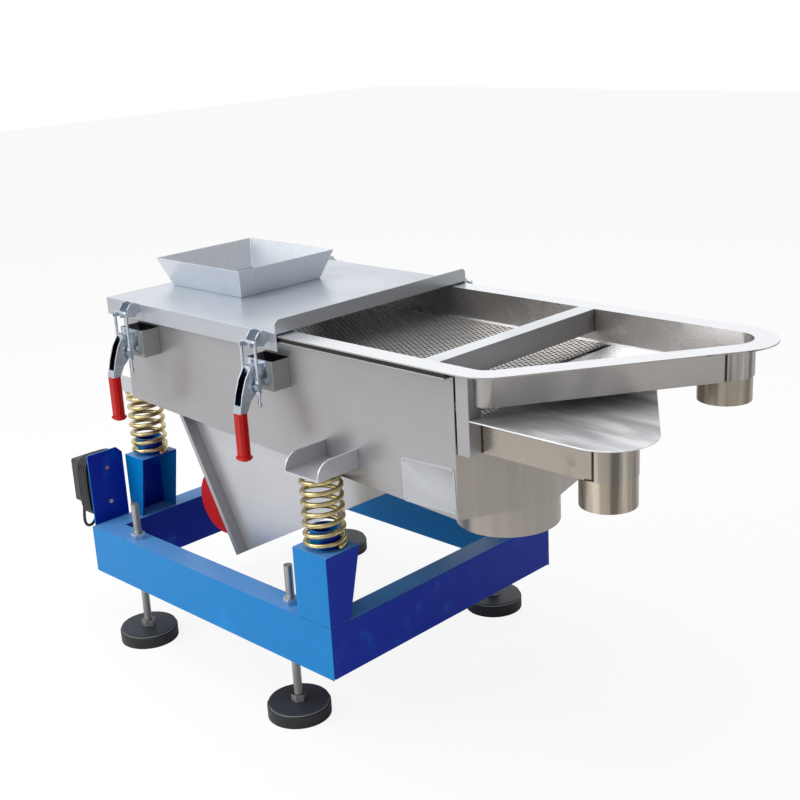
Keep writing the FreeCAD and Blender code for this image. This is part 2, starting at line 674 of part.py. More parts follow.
def end_cheeks():
    """Folded uprights that close the box's end between the side plates and the trays."""
    start = d.box_end + d.cheek_gap
    end = start + d.cheek_width
    solids = []
    for _, side in SIDES:
        outer, reach = side * d.box_half_width, side * (d.box_half_width - d.cheek_reach)
        fold = outer - side * d.box_sheet
        top = RIM_UNDER - EDGE
        flange = box_at(start, end, min(outer, fold), max(outer, fold), SECOND_BOTTOM, top)
        web = box_at(end - d.box_sheet, end, min(fold, reach), max(fold, reach), SECOND_BOTTOM, top)
        wall = side * (TRAY_HALF + d.tray_sheet + EDGE)
        tray = box_at(start, end, min(wall, 0), max(wall, 0), RIM_TOP - d.tray_depth - EDGE, RIM_TOP)
        solids.append(flange.fuse(web).cut(tray).removeSplitter())
    made("end_cheeks", Part.makeCompound(solids))


# ----------------------------------------------------------------------------------------------- trays


def funnel_outline(start, half, outlet_x, outlet_y, tip_radius, corner, margin):
    """Tray plan: straight sides, one slanted end and a tip that is round about the outlet.

    outlet_y says on which side the outlet lies; margin moves every side inwards.
    """
    side = 1 if outlet_y > 0 else -1
    half, radius, corner = half - margin, tip_radius - margin, max(corner - margin, 1)
    slant = math.radians(d.diagonal_angle)
    along = Vector(-math.sin(slant), -side * math.cos(slant), 0)
    out = Vector(math.cos(slant), -side * math.sin(slant), 0)
    centre = Vector(outlet_x, outlet_y, 0)
    touch = centre + out * radius
    sharp = touch + along * ((half + side * touch.y) / math.cos(slant))
    turn = (math.pi / 2 + slant) / 2
    cut = corner / math.tan(math.pi / 2 - (math.pi / 2 - slant) / 2)
    first = Vector(sharp.x - cut, sharp.y, 0)
    second = sharp - along * cut
    heart = Vector(first.x, first.y + side * corner, 0)
    middle = heart + (sharp - heart).normalize() * corner
    tip = centre + Vector(math.cos(turn), side * math.sin(turn), 0) * radius
    end = Vector(centre.x, side * half, 0)
    return [
        (start + margin, side * half), (start + margin, -side * half), (first.x, first.y),
        (second.x, second.y, "arc", middle.x, middle.y), (touch.x, touch.y),
        (end.x, end.y, "arc", tip.x, tip.y),
    ]


def top_outline(margin):
    return funnel_outline(
        TRAY_START, d.rim_half_width, d.top_outlet_x, TOP_OUTLET_Y,
        d.outlet_radius + d.rim_flange, d.rim_corner, margin,
    )


def second_outline(margin):
    return funnel_outline(
        d.box_start + d.box_sheet + EDGE, d.second_half_width, d.second_outlet_x, SECOND_OUTLET_Y,
        d.outlet_radius + d.spout_step, d.rim_corner - d.rim_flange, margin,
    )


def behind(x):
    """Everything on the hopper side of station x."""
    return box_at(-d.box_end, x, -d.lid_width, d.lid_width, 0, 2 * BOX_TOP)


def top_tray():
    """Rim, walls and the plain bottom past the screen, pressed and welded from one sheet size."""
    b = body("top_tray")
    rim = sketch(b, "XY", RIM_UNDER)
    outline(rim, top_outline(0))
    pad(b, rim, "Dims.tray_sheet")
    walls = sketch(b, "XY", RIM_UNDER)
    outline(walls, top_outline(d.rim_flange - d.tray_sheet))
    pad(b, walls, "Dims.tray_depth - Dims.tray_sheet", reverse=True)
    hollow = sketch(b, "XY", RIM_TOP)
    outline(hollow, top_outline(d.rim_flange))
    pocket(b, hollow, "Dims.tray_depth - Dims.tray_sheet")
    opening = sketch(b, "XY", RIM_TOP)
    outline(opening, screen_opening(top_outline, d.rim_flange + d.bottom_margin))
    pocket(b, opening, "2 * Dims.tray_depth")
    bore = sketch(b, "XY", RIM_TOP)
    circle(bore, d.top_outlet_x, TOP_OUTLET_Y, d.outlet_radius - d.spout_wall,
           "Dims.outlet_radius - Dims.spout_wall")
    pocket(b, bore, "2 * Dims.tray_depth")


def screen_opening(plan, margin):
    """The part of a tray's plan that lies inside the box."""
    points = plan(margin)
    start, half = points[0][0], abs(points[0][1])
    return [(start, -half), (d.screen_reach, -half), (d.screen_reach, half), (start, half)]


def staggered(length, width):
    """Middles of the holes that fit a field, in rows across the flow, each moved by half a pitch."""
    step = d.hole_pitch * math.sqrt(3) / 2
    rows = int((length - d.hole_diameter) / step) + 1
    full = int((width - d.hole_diameter) / d.hole_pitch) + 1
    for row in range(rows):
        count = full - row % 2
        for k in range(count):
            yield (row - (rows - 1) / 2) * step, (k - (count - 1) / 2) * d.hole_pitch


def screen(name, plan, margin, top):
    """Perforated sheet: holes in staggered rows, drawn eight-sided to keep the model light."""
    plate = prism(screen_opening(plan, margin), top - d.screen_sheet, top)
    field = prism(screen_opening(plan, margin + d.bottom_margin), 0, top).BoundBox
    radius = d.hole_diameter / 2
    corners = [(k + 0.5) * math.pi / 4 for k in range(8)]
    holes = []
    for x, y in staggered(field.XLength, field.YLength):
        middle = field.Center + Vector(x, y, 0)
        ring = [(middle.x + radius * math.cos(a), middle.y + radius * math.sin(a)) for a in corners]
        holes.append(prism(ring, 0, 2 * top))
    made(name, plate.cut(Part.makeCompound(holes)))


def crossbar():
    """Angle across the top tray, its flat leg level with the rim."""
    half = TRAY_HALF
    x0, x1 = d.crossbar_x - d.crossbar_width / 2, d.crossbar_x + d.crossbar_width / 2
    flat = box_at(x0, x1, -half, half, RIM_TOP - d.tray_sheet, RIM_TOP)
    upright = box_at(x1 - d.tray_sheet, x1, -half, half, RIM_TOP - d.crossbar_drop, RIM_TOP)
    made("tray_crossbar", flat.fuse(upright).removeSplitter())


def second_tray():
    """Walls and bottom of the lower deck, open on top inside the box."""
    b = body("second_tray")
    walls = sketch(b, "XY", SECOND_BOTTOM)
    outline(walls, second_outline(0))
    pad(b, walls, "Dims.second_depth - Dims.tray_sheet")
    hollow = sketch(b, "XY", COVER_Z - d.tray_sheet)
    outline(hollow, second_outline(d.tray_sheet))
    pocket(b, hollow, "Dims.second_depth - 2 * Dims.tray_sheet")
    opening = sketch(b, "XY", COVER_Z)
    outline(opening, screen_opening(second_outline, d.tray_sheet + d.bottom_margin))
    pocket(b, opening, "2 * Dims.second_depth")
    bore = sketch(b, "XY", COVER_Z)
    circle(bore, d.second_outlet_x, SECOND_OUTLET_Y, d.outlet_radius - d.spout_wall,
           "Dims.outlet_radius - Dims.spout_wall")
    pocket(b, bore, "2 * Dims.second_depth")


def second_cover():
    """Flat cover on the part of the second tray that stands out of the box."""
    plate = prism(second_outline(-d.cover_margin), COVER_Z - d.tray_sheet, COVER_Z)
    made("second_cover", plate.cut(behind(d.box_end + d.cheek_gap + d.cheek_width)))


def tray_spouts():
    top = tube(d.outlet_radius, d.spout_wall, RIM_TOP - d.top_spout_length, RIM_TOP - d.tray_depth,
               d.top_outlet_x, TOP_OUTLET_Y)
    second = tube(d.outlet_radius, d.spout_wall, COVER_Z - d.second_spout_length, SECOND_BOTTOM,
                  d.second_outlet_x, SECOND_OUTLET_Y)
    made("tray_spouts", Part.makeCompound([top, second]))


def rim_seals():
    """Rubber strips on the side flanges under the tray rim, and round the lid's underside."""
    solids = []
    for _, side in SIDES:
        y0, y1 = sorted((side * d.box_half_width, side * (d.box_half_width + d.flange_width - 2)))
        solids.append(box_at(d.box_start, d.box_end, y0, y1, BOX_TOP, RIM_UNDER))
    half = d.rim_half_width - 1
    x0, x1 = TRAY_START + 1, d.lid_length - d.lid_sheet
    ring = box_at(x0, x1, -half, half, RIM_TOP, LID_UNDER)
    w = d.gasket_width
    ring = ring.cut(box_at(x0 + w, x1 - w, w - half, half - w, RIM_TOP, LID_UNDER))
    middle = box_at(x1 - w, x1, -TRAY_HALF, TRAY_HALF, RIM_TOP, LID_UNDER)
    solids.append(ring.cut(middle))
    made("rim_seals", Part.makeCompound(solids))


# ------------------------------------------------------------------------------------- lid and hopper


def lid():
    """Sheet lid: skirts on three sides, a turned-up edge on the fourth, and the feed opening."""
    b = body("lid")
    top = sketch(b, "XY", LID_UNDER)
    rectangle(top, 0, 0, (d.lid_length, "Dims.lid_length"), (d.lid_width, "Dims.lid_width"), (False, True))
    pad(b, top, "Dims.lid_sheet")
    for sign in (-1, 1):
        skirt = sketch(b, "XY", LID_UNDER)
        rectangle(skirt, 0, sign * (d.lid_width - d.lid_sheet) / 2, (d.lid_length, "Dims.lid_length"),
                  (d.lid_sheet, "Dims.lid_sheet"), (False, True))
        pad(b, skirt, "Dims.lid_skirt - Dims.lid_sheet", reverse=True)
    end = sketch(b, "XY", LID_UNDER)
    rectangle(end, 0, 0, (d.lid_sheet, "Dims.lid_sheet"), (d.lid_width, "Dims.lid_width"), (False, True))
    pad(b, end, "Dims.lid_skirt - Dims.lid_sheet", reverse=True)
    upstand = sketch(b, "YZ", d.lid_length - d.lid_sheet)
    half, high, r = d.lid_width / 2, LID_TOP + d.lid_upstand, d.lid_corner
    soft = r * (1 - math.sqrt(0.5))
    outline(upstand, [
        (-half, LID_TOP), (half, LID_TOP), (half, high - r),
        (half - r, high, "arc", half - soft, high - soft),
        (r - half, high), (-half, high - r, "arc", soft - half, high - soft),
    ])
    pad(b, upstand, "Dims.lid_sheet")
    feed = sketch(b, "XY", LID_TOP)
    rectangle(feed, d.hopper_x, 0,
              (d.hopper_foot_length - 2 * d.lid_sheet, "Dims.hopper_foot_length - 2 * Dims.lid_sheet"),
              (d.hopper_foot_width - 2 * d.lid_sheet, "Dims.hopper_foot_width - 2 * Dims.lid_sheet"))
    pocket(b, feed, "2 * Dims.lid_sheet")


def frustum(foot, mouth, z0, z1, inset=0.0):
    wires = []
    for (length, width), z in ((foot, z0), (mouth, z1)):
        x, y = length / 2 - inset, width / 2 - inset
        corners = [Vector(-x, -y, z), Vector(x, -y, z), Vector(x, y, z), Vector(-x, y, z)]
        wires.append(Part.makePolygon(corners + corners[:1]))
    return Part.makeLoft(wires, True, True)


def feed_hopper():
    foot = (d.hopper_foot_length, d.hopper_foot_width)
    mouth = (d.hopper_mouth_length, d.hopper_mouth_width)
    shell = frustum(foot, mouth, 0, d.hopper_height)
    hollow = frustum(foot, mouth, 0, d.hopper_height, d.lid_sheet)
    made("feed_hopper", shell.cut(hollow), (d.hopper_x, 0, LID_TOP))


# ---------------------------------------------------------------------------------------- spring seats


def spring_seat(name, reach):
    """Folded seat welded to a wall at local Y = 0, reaching out along -Y, with rounded flanges."""
    half = d.seat_width / 2
    solids = box_at(-half, half, -reach, 0, 0, d.seat_sheet)
    r = d.seat_flange
    for x in (-half, half - d.seat_sheet):
        points = [Vector(x, 0, 0), Vector(x, -reach, 0), Vector(x, -reach, d.seat_sheet)]
        arc = Part.Arc(points[2], Vector(x, -reach + r * 0.293, r * 0.707 + 2), Vector(x, -reach + r, r))
        low, high = Vector(x, -reach + r, r), Vector(x, 0, r)
        edges = [
            Part.makeLine(points[0], points[1]), Part.makeLine(points[1], points[2]), arc.toShape(),
            Part.makeLine(low, high), Part.makeLine(high, points[0]),
        ]
        solids = solids.fuse(Part.Face(Part.Wire(edges)).extrude(Vector(d.seat_sheet, 0, 0)))
    template = doc.addObject("Part::Feature", name)
    template.Shape = solids.removeSplitter()
    return template


def spring_seats():
    """Two seats on the side plates and two on the hopper-end wall."""
    reach = SPRING_Y + SPRING_RADIUS + d.seat_lip - d.box_half_width
    side_seat = spring_seat("side_seat", reach)
    end_reach = d.box_start - END_SPRING_X + SPRING_RADIUS + d.spring_clearance
    end_seat = spring_seat("end_seat", end_reach)
    solids = []
    for _, side in SIDES:
        one = side_seat.Shape.copy()
        place = Vector(SPRING_X + d.seat_offset, side * d.box_half_width, SEAT_Z)
        one.Placement = Placement(place, side_turn(side))
        other = end_seat.Shape.copy()
        other.Placement = Placement(
            Vector(d.box_start, side * d.end_post_spread, SEAT_Z), Rotation(Vector(0, 0, 1), -90)
        )
        solids += [one, other]
    made("spring_seats", Part.makeCompound(solids))


# ---------------------------------------------------------------------------------- vibration motor

SLOPE = math.radians(d.mount_angle)
DOWN = Vector(math.cos(SLOPE), 0, -math.sin(SLOPE))
OUT = Vector(-math.sin(SLOPE), 0, -math.cos(SLOPE))
MOUNT_TOP = Vector(d.mount_x, 0, pan_z(d.mount_x) - d.mount_drop)
MOTOR_CENTRE = MOUNT_TOP + DOWN * d.motor_drop + OUT * (d.motor_plate + d.motor_foot + d.motor_radius)


def below_box():
    """Everything under the box's floor."""
    face = d.box_start + d.box_sheet
    behind = box_at(-d.box_end, face, -d.lid_width, d.lid_width, 0, pan_z(face))
    return pan_sheet(-BOX_TOP, 0, d.box_half_width).fuse(behind)


def motor_mount():
    """Slanted plate under the box and the two gussets that brace it."""
    under = below_box()
    toe = MOUNT_TOP + DOWN * d.mount_length
    head = MOUNT_TOP - DOWN * d.mount_length
    corners = [head, toe, toe + OUT * d.motor_plate, head + OUT * d.motor_plate]
    half = d.box_half_width - 2 * d.box_sheet
    slab = Part.Face(Part.makePolygon(corners + corners[:1])).extrude(Vector(0, 2 * half, 0))
    slab.translate(Vector(0, -half, 0))
    made("motor_plate", slab.common(under))
    far = toe - OUT * (2 * d.mount_length)
    triangle = [head, toe, far, far - DOWN * (2 * d.mount_length)]
    solids = []
    for _, side in SIDES:
        y0 = min(side * d.gusset_spread, side * (d.gusset_spread - d.gusset_sheet))
        web = Part.Face(Part.makePolygon(triangle + triangle[:1])).extrude(Vector(0, d.gusset_sheet, 0))
        web.translate(Vector(0, y0, 0))
        solids.append(web.common(under))
    made("motor_gussets", Part.makeCompound(solids))


def across(radius, y0, y1, centre=MOTOR_CENTRE):
    return Part.makeCylinder(radius, y1 - y0, centre + Vector(0, y0, 0), Vector(0, 1, 0))


def motor_foot():
    """Cast foot under the barrel, seated on the motor plate, drawn from Y = 0."""
    seat = MOTOR_CENTRE - OUT * (d.motor_radius + d.motor_foot)
    wide, narrow = 1.05 * d.motor_radius, 0.6 * d.motor_radius
    rise = d.motor_foot + d.motor_radius / 2
    right = [seat + DOWN * wide, seat + DOWN * wide + OUT * d.foot_lift, seat + DOWN * narrow + OUT * rise]
    left = [seat - DOWN * narrow + OUT * rise, seat - DOWN * wide + OUT * d.foot_lift, seat - DOWN * wide]
    corners = right + left
    return Part.Face(Part.makePolygon(corners + corners[:1])).extrude(Vector(0, d.foot_strap, 0))


def motor():
    """Housing on its feet, the two end covers, and the rotor with its eccentric weights."""
    half = d.motor_length / 2
    shoulder = half - d.motor_cover
    barrel = across(d.motor_barrel, -shoulder, shoulder)
    foot = motor_foot()
    for sign in (-1, 1):
        y0, y1 = sorted((sign * shoulder, sign * (shoulder - d.motor_collar)))
        barrel = barrel.fuse(across(d.motor_radius, y0, y1))
        one = foot.copy()
        one.translate(Vector(0, (sign * d.foot_spread - d.foot_strap) / 2, 0))
        barrel = barrel.fuse(one)
    barrel = barrel.cut(across(d.shaft_radius + d.bore_clearance, -half, half))
    made("motor_housing", barrel.removeSplitter())
    covers = []
    for sign in (-1, 1):
        y0, y1 = sorted((sign * shoulder, sign * half))
        outer = across(d.motor_radius, y0, y1)
        inner0, inner1 = sorted((sign * shoulder, sign * (half - d.cover_sheet)))
        covers.append(outer.cut(across(d.motor_radius - d.cover_sheet, inner0, inner1)))
    made("motor_covers", Part.makeCompound(covers))
    reach = half - d.weight_gap
    rotor = across(d.shaft_radius, -reach, reach)
    above = MOTOR_CENTRE + Vector(-d.weight_radius, -half, d.weight_flat)
    upper_half = Part.makeBox(2 * d.weight_radius, 2 * half, d.weight_radius, above)
    for sign in (-1, 1):
        near = shoulder + d.weight_gap
        y0, y1 = sorted((sign * near, sign * (near + d.weight_thickness)))
        rotor = rotor.fuse(across(d.weight_radius, y0, y1).cut(upper_half))
    made("motor_rotor", rotor.removeSplitter())


# -------------------------------------------------------------------------------------- toggle latches
# A latch is drawn about its lever pivot, with -Y pointing away from the machine.


def latch_places():
    return [
        (name, end, Vector(station, side * PIVOT_OUT, PIVOT_Z), side_turn(side))
        for end, station in LATCH_STATIONS
        for name, side in SIDES
    ]


def latch_bracket():
    """Channel welded to the side plate, its web carrying the latch."""
    b = body("latch_bracket", keep=False)
    plan = sketch(b, "XY")
    half, depth, t = d.bracket_width / 2, d.bracket_depth, d.bracket_sheet
    outline(plan, [
        (-half, 0), (-half, -depth), (half, -depth), (half, 0),
        (half - t, 0), (half - t, t - depth), (t - half, t - depth), (t - half, 0),
    ])
    pad(b, plan, "Dims.bracket_height", midplane=True)
    return b


def latch_base():
    """Base plate with two ears and the pivot pin."""
    stand, ear, half = d.pivot_standoff, d.lever_gap - EDGE, d.base_width / 2
    solid = box_at(-half, half, stand - d.base_sheet, stand, -d.base_below, d.base_above)
    solid = solid.fuse(
        box_at(-ear, ear, -d.ear_reach, stand - d.base_sheet, -d.ear_reach, d.ear_reach)
    )
    end = d.lever_gap + 2 * d.lever_sheet + EDGE
    for x in (ear, -end):
        solid = solid.fuse(Part.makeCylinder(d.pivot_radius, end - ear, Vector(x, 0, 0), Vector(1, 0, 0)))
    template = doc.addObject("Part::Feature", "latch_base")
    template.Shape = solid.removeSplitter()
    return template


def latch_screws():
    """The four hexagon heads that hold each base plate."""
    b = body("latch_screw", keep=False)
    head = sketch(b, "XZ")
    outline(head, hexagon(2 * d.screw_radius * math.cos(math.pi / 6)))
    pad(b, head, "Dims.base_sheet")
    reach = d.base_width / 2 - d.screw_inset
    places = []
    for _, side in SIDES:
        face = side * (PIVOT_OUT - d.pivot_standoff + d.base_sheet)
        for _, station in LATCH_STATIONS:
            for x in (station - reach, station + reach):
                for z in (d.base_above - d.screw_inset, d.screw_inset - d.base_below):
                    places.append(((x, face, PIVOT_Z + z), side_turn(side)))
    copies("latch_screws", b, places)


GRIP_TOP = Vector(0, -d.grip_out, -d.grip_drop)
LEVER_HALF = d.lever_gap + d.lever_sheet


def side_profile(points, x0, x1):
    """A solid on an outline in the YZ plane, from one X to another."""
    face = Part.Face(Part.makePolygon([Vector(x0, y, z) for y, z in points + points[:1]]))
    return face.extrude(Vector(x1 - x0, 0, 0))


def lever_shape():
    """Two bowed side plates joined by the tang that runs into the grip."""
    heel, eye = d.pivot_radius + 4, d.trunnion_radius + 4
    out, drop, strap = d.grip_out, d.grip_drop, d.lever_strap
    bow = [
        (heel, heel / 2), (0, heel), (-heel, heel / 2), (-0.67 * out, -0.19 * drop), (-out, -0.55 * drop),
        (-out - strap, -drop), (strap - out, -drop), (-0.4 * out, -0.74 * drop),
        (eye - 2, -d.toggle_radius - eye), (eye, 3 - d.toggle_radius), (0, -0.22 * drop), (heel, -0.6 * heel),
    ]
    tang = [
        (-1.18 * out, -0.8 * drop), (-out - strap, -drop), (-out - strap + d.lever_sheet, -drop),
        (d.lever_sheet - 1.18 * out, -0.8 * drop),
    ]
    solid = side_profile(tang, -LEVER_HALF, LEVER_HALF)
    for x in (-LEVER_HALF, d.lever_gap):
        solid = solid.fuse(side_profile(bow, x, x + d.lever_sheet))
    for radius, z in ((d.pivot_radius, 0), (d.trunnion_radius, -d.toggle_radius)):
        bore = Part.makeCylinder(
            radius + d.bore_clearance, 4 * LEVER_HALF, Vector(-2 * LEVER_HALF, 0, z), Vector(1, 0, 0)
        )
        solid = solid.cut(bore)
    return solid.removeSplitter()


def octagon_bar(width, depth, z0, z1, cut):
    """Upright bar with cut corners."""
    w, t = width / 2, depth / 2
    points = [
        (-w, cut - t), (cut - w, -t), (w - cut, -t), (w, cut - t),
        (w, t - cut), (w - cut, t), (cut - w, t), (-w, t - cut),
    ]
    return prism(points, z0, z1)


def grip_shape():
    """Dipped vinyl grip with a bead at its open end."""
    width, depth, bead = 2 * (LEVER_HALF + d.grip_skin), d.grip_depth, d.grip_bead
    end = -d.grip_length
    bar = octagon_bar(width, depth, end, 0, depth / 4)
    ring = octagon_bar(width + 2 * bead, depth + 2 * bead, end + bead, end + 3.5 * bead, depth / 3)
    solid = bar.fuse(ring).removeSplitter()
    solid.translate(GRIP_TOP)
    return solid


def rod_along(points, radius, sides=8):
    """A straight-sided rod along a path in the XZ plane, mitred at each point."""
    rings = []
    for i, p in enumerate(points):
        before = (p - points[i - 1]).normalize() if i else None
        after = (points[i + 1] - p).normalize() if i + 1 < len(points) else None
        along = before or after
        tangent = ((before or after) + (after or before)).normalize()
        side = Vector(tangent.z, 0, -tangent.x) * (1 / max(tangent.dot(along), 0.2))
        rings.append([
            p + side * (radius * math.cos(a)) + Vector(0, radius * math.sin(a), 0)
            for a in (2 * math.pi * (k + 0.5) / sides for k in range(sides))
        ])
    faces = [Part.Face(Part.makePolygon(ring + ring[:1])) for ring in (rings[0], rings[-1])]
    for a, b in zip(rings, rings[1:]):
        for k in range(sides):
            n = (k + 1) % sides
            faces.append(Part.Face(Part.makePolygon([a[k], a[n], b[n], b[k], a[k]])))
    return Part.Solid(Part.Shell(faces))


def u_bolt_shape():
    """Rod bent to a U over the hook, with its trunnion and the blocks that hold its legs."""
    half, corner = d.bolt_half_width, 5
    foot, top = -d.toggle_radius - d.leg_reach, BAR_RISE
    soft = 0.3 * corner
    side = [
        Vector(half, 0, foot), Vector(half, 0, top - corner),
        Vector(half - soft, 0, top - soft), Vector(half - corner, 0, top),
    ]
    path = side + [Vector(-p.x, 0, p.z) for p in reversed(side)]
    solid = rod_along(path, d.bolt_rod)
    eye, z = d.trunnion_radius + 1, -d.toggle_radius
    inner = half - eye
    solid = solid.fuse(Part.makeCylinder(d.trunnion_radius, 2 * inner, Vector(-inner, 0, z), Vector(1, 0, 0)))
    for x in (-half, half):
        solid = solid.fuse(box_at(x - eye, x + eye, -eye, eye, z - eye, z + eye))
    return solid.removeSplitter()


def hook_shape():
    """Keeper on the lid's edge: two ears that reach over and down, with a pocket for the bar."""
    back = PIVOT_OUT - d.lid_width / 2
    under = BAR_RISE - d.bolt_rod - d.hook_play
    lip = -2 * d.bolt_rod
    edge = LID_TOP - PIVOT_Z
    foot = edge - d.hook_foot
    t = d.hook_sheet
    crown = [
        (back, foot), (back, edge), (0.71 * back, edge + 5), (0.43 * back, edge + 3), (0.29 * back, edge - 4),
    ]
    pocket_side = [(d.bolt_rod + 4, under + 8), (d.bolt_rod + 4, under), (lip, under), (lip, BAR_RISE)]
    outside = [(lip - t, BAR_RISE), (lip - t, under - t - 1), (0.66 * back, min(under - 9, foot - 1))]
    ear = crown + pocket_side + outside
    width = d.hook_width / 2
    solid = box_at(-width, width, back - t, back, foot, edge - 4)
    for x in (-width, width - t):
        solid = solid.fuse(side_profile(ear, x, x + t))
    return solid.removeSplitter()


def latches():
    bracket = latch_bracket()
    places = latch_places()
    middle = PIVOT_Z - d.bracket_drop
    copies("latch_brackets", bracket, [
        ((p.x, math.copysign(d.box_half_width, p.y), middle), turn) for _, _, p, turn in places
    ])
    copies("latch_bases", latch_base(), [((p.x, p.y, p.z), turn) for _, _, p, turn in places])
    latch_screws()
    hook = doc.addObject("Part::Feature", "latch_hook")
    hook.Shape = hook_shape()
    copies("latch_hooks", hook, [((p.x, p.y, p.z), turn) for _, _, p, turn in places])
    for name, end, point, turn in places:
        for label, shape in (("lever", lever_shape()), ("grip", grip_shape()), ("u_bolt", u_bolt_shape())):
            made(f"{label}_{name}_{end}", shape, (point.x, point.y, point.z), turn)


# --------------------------------------------------------------------------------------------- switch


def switch_panel():
    """Plate with one cut corner, welded to the end rail, that carries the switch box."""
    b = body("switch_plate", (PANEL_FACE, 0, RAIL_TOP))
    face = sketch(b, "YZ")
    half, cut, foot, y = d.panel_width / 2, d.panel_corner, -d.panel_overlap, -d.panel_y
    outline(face, [(y - half, foot), (y + half, foot), (y + half, d.panel_height - cut),
                   (y + half - cut, d.panel_height), (y - half, d.panel_height)])
    pad(b, face, "Dims.panel_sheet")


def rounded_block(x0, x1, half_y, half_z, radius):
    """A block along X, centred on the switch, with its long edges rounded."""
    y, z = -d.panel_y, SWITCH_Z
    block = box_at(x0, x1, y - half_y, y + half_y, z - half_z, z + half_z)
    long_edges = [e for e in block.Edges if abs(e.Vertexes[0].Point.x - e.Vertexes[-1].Point.x) > EDGE]
    return block.makeFillet(radius, long_edges)


def peg(x, dz, radius, length):
    """A round piece along X, dz above the middle of the switch."""
    return Part.makeCylinder(radius, length, Vector(x, -d.panel_y, SWITCH_Z + dz), Vector(1, 0, 0))


def switch_parts():
    front = PANEL_FACE - d.switch_depth
    case = rounded_block(front, PANEL_FACE, d.switch_width / 2, d.switch_height / 2, d.switch_corner)
    length = d.button_reach + d.button_well - d.button_travel - 2 * EDGE
    for name, dz in (("start_button", d.button_spread / 2), ("stop_button", -d.button_spread / 2)):
        case = case.cut(peg(front, dz, d.button_radius + EDGE, d.button_well))
        made(name, peg(front - d.button_reach, dz, d.button_radius, length))
    made("switch_box", case)
    back = PANEL_FACE + d.panel_sheet
    screws = [peg(back, sign * 0.4 * d.switch_height, d.panel_screw, d.panel_screw_head) for sign in (-1, 1)]
    made("panel_screws", Part.makeCompound(screws))


def cable_winding():
    """The outer shape of the cable wound round the switch box."""
    length = d.cable_diameter * d.cable_rows
    end = PANEL_FACE - d.cable_gap
    half_y, half_z = d.switch_width / 2 + EDGE, d.switch_height / 2 + EDGE
    outer = rounded_block(
        end - length, end, half_y + CABLE_BUILD, half_z + CABLE_BUILD, d.switch_corner + 1.3 * CABLE_BUILD
    )
    made("cable_winding", outer.cut(rounded_block(end - length, end, half_y, half_z, d.switch_corner)))


# ---------------------------------------------------------------------------------------------- build

base_frame()
spring_posts()
springs()
levelling_feet()
for side_name, side_sign in SIDES:
    side_plate(f"side_plate_{side_name}", side_sign)
hopper_end_wall()
bottom_pan()
bottom_chute()
end_cheeks()
top_tray()
screen("top_screen", top_outline, d.rim_flange + EDGE, RIM_TOP - d.tray_depth + d.tray_sheet + d.screen_sheet)
crossbar()
second_tray()
screen("second_screen", second_outline, d.tray_sheet + EDGE, SECOND_BOTTOM + d.tray_sheet + d.screen_sheet)
second_cover()
tray_spouts()
rim_seals()
lid()
feed_hopper()
spring_seats()
motor_mount()
motor()
latches()
switch_panel()
switch_parts()
cable_winding()

doc.recompute()
faults = [o.Label for o in doc.Objects if "Invalid" in o.State or "Error" in o.State]
for piece in NODES:
    if piece.Shape.isNull() or not piece.Shape.isValid() or not piece.Shape.Solids:
        faults.append(piece.Label + ": bad shape")
if faults:
    raise SystemExit("not built: " + ", ".join(faults))
for piece in NODES:
    piece.Shape.exportStep(f"parts/{piece.Label}.step")
print(len(NODES), "nodes", [round(v) for v in (SHIFT.x, TIP_X, BUTTON_END)])
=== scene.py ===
"""Looks of a linear vibrating sieve: the finishes of its welded stainless box and painted frame,
and the small parts that its plain solids leave out."""

import json
import math

import bmesh
import bpy
from mathutils import Matrix, Vector
from mathutils.bvhtree import BVHTree

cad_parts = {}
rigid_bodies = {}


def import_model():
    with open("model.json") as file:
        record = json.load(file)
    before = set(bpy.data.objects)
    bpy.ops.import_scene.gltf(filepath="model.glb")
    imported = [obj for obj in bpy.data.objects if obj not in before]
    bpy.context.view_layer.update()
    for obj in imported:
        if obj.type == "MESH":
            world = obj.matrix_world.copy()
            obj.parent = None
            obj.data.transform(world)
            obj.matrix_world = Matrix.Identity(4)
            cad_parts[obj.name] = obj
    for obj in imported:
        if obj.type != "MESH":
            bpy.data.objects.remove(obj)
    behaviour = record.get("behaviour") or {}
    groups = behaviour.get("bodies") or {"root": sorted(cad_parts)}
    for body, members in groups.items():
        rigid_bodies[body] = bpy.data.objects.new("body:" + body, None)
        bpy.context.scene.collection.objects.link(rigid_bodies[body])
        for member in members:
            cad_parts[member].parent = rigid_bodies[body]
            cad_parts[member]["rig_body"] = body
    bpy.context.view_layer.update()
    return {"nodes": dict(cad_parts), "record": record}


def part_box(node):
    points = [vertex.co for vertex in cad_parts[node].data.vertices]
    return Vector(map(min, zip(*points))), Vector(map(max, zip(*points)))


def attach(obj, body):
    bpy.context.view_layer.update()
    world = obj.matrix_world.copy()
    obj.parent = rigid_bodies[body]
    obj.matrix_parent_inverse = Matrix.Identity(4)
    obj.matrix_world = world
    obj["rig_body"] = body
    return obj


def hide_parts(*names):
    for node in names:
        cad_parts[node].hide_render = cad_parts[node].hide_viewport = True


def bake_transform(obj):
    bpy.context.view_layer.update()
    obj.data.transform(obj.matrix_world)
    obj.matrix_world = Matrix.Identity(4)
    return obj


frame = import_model()
nodes = frame["nodes"]

# ---------------------------------------------------------------------------------- sizes and places

MM = 0.001
ENDS = ("hopper", "discharge")
SIDES = (("near", -1), ("far", 1))
LOW, HIGH = 0, 1

tray_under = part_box("top_tray")[LOW].z
box_side = abs(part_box("bottom_chute")[LOW].y)
box_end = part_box("side_plate_near")[HIGH].x
switch_low, switch_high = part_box("switch_box")
winding_start_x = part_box("cable_winding")[LOW].x
spouts_low, spouts_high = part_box("tray_spouts")
second_low, second_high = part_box("second_tray")
bracket_low, bracket_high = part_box("latch_brackets")

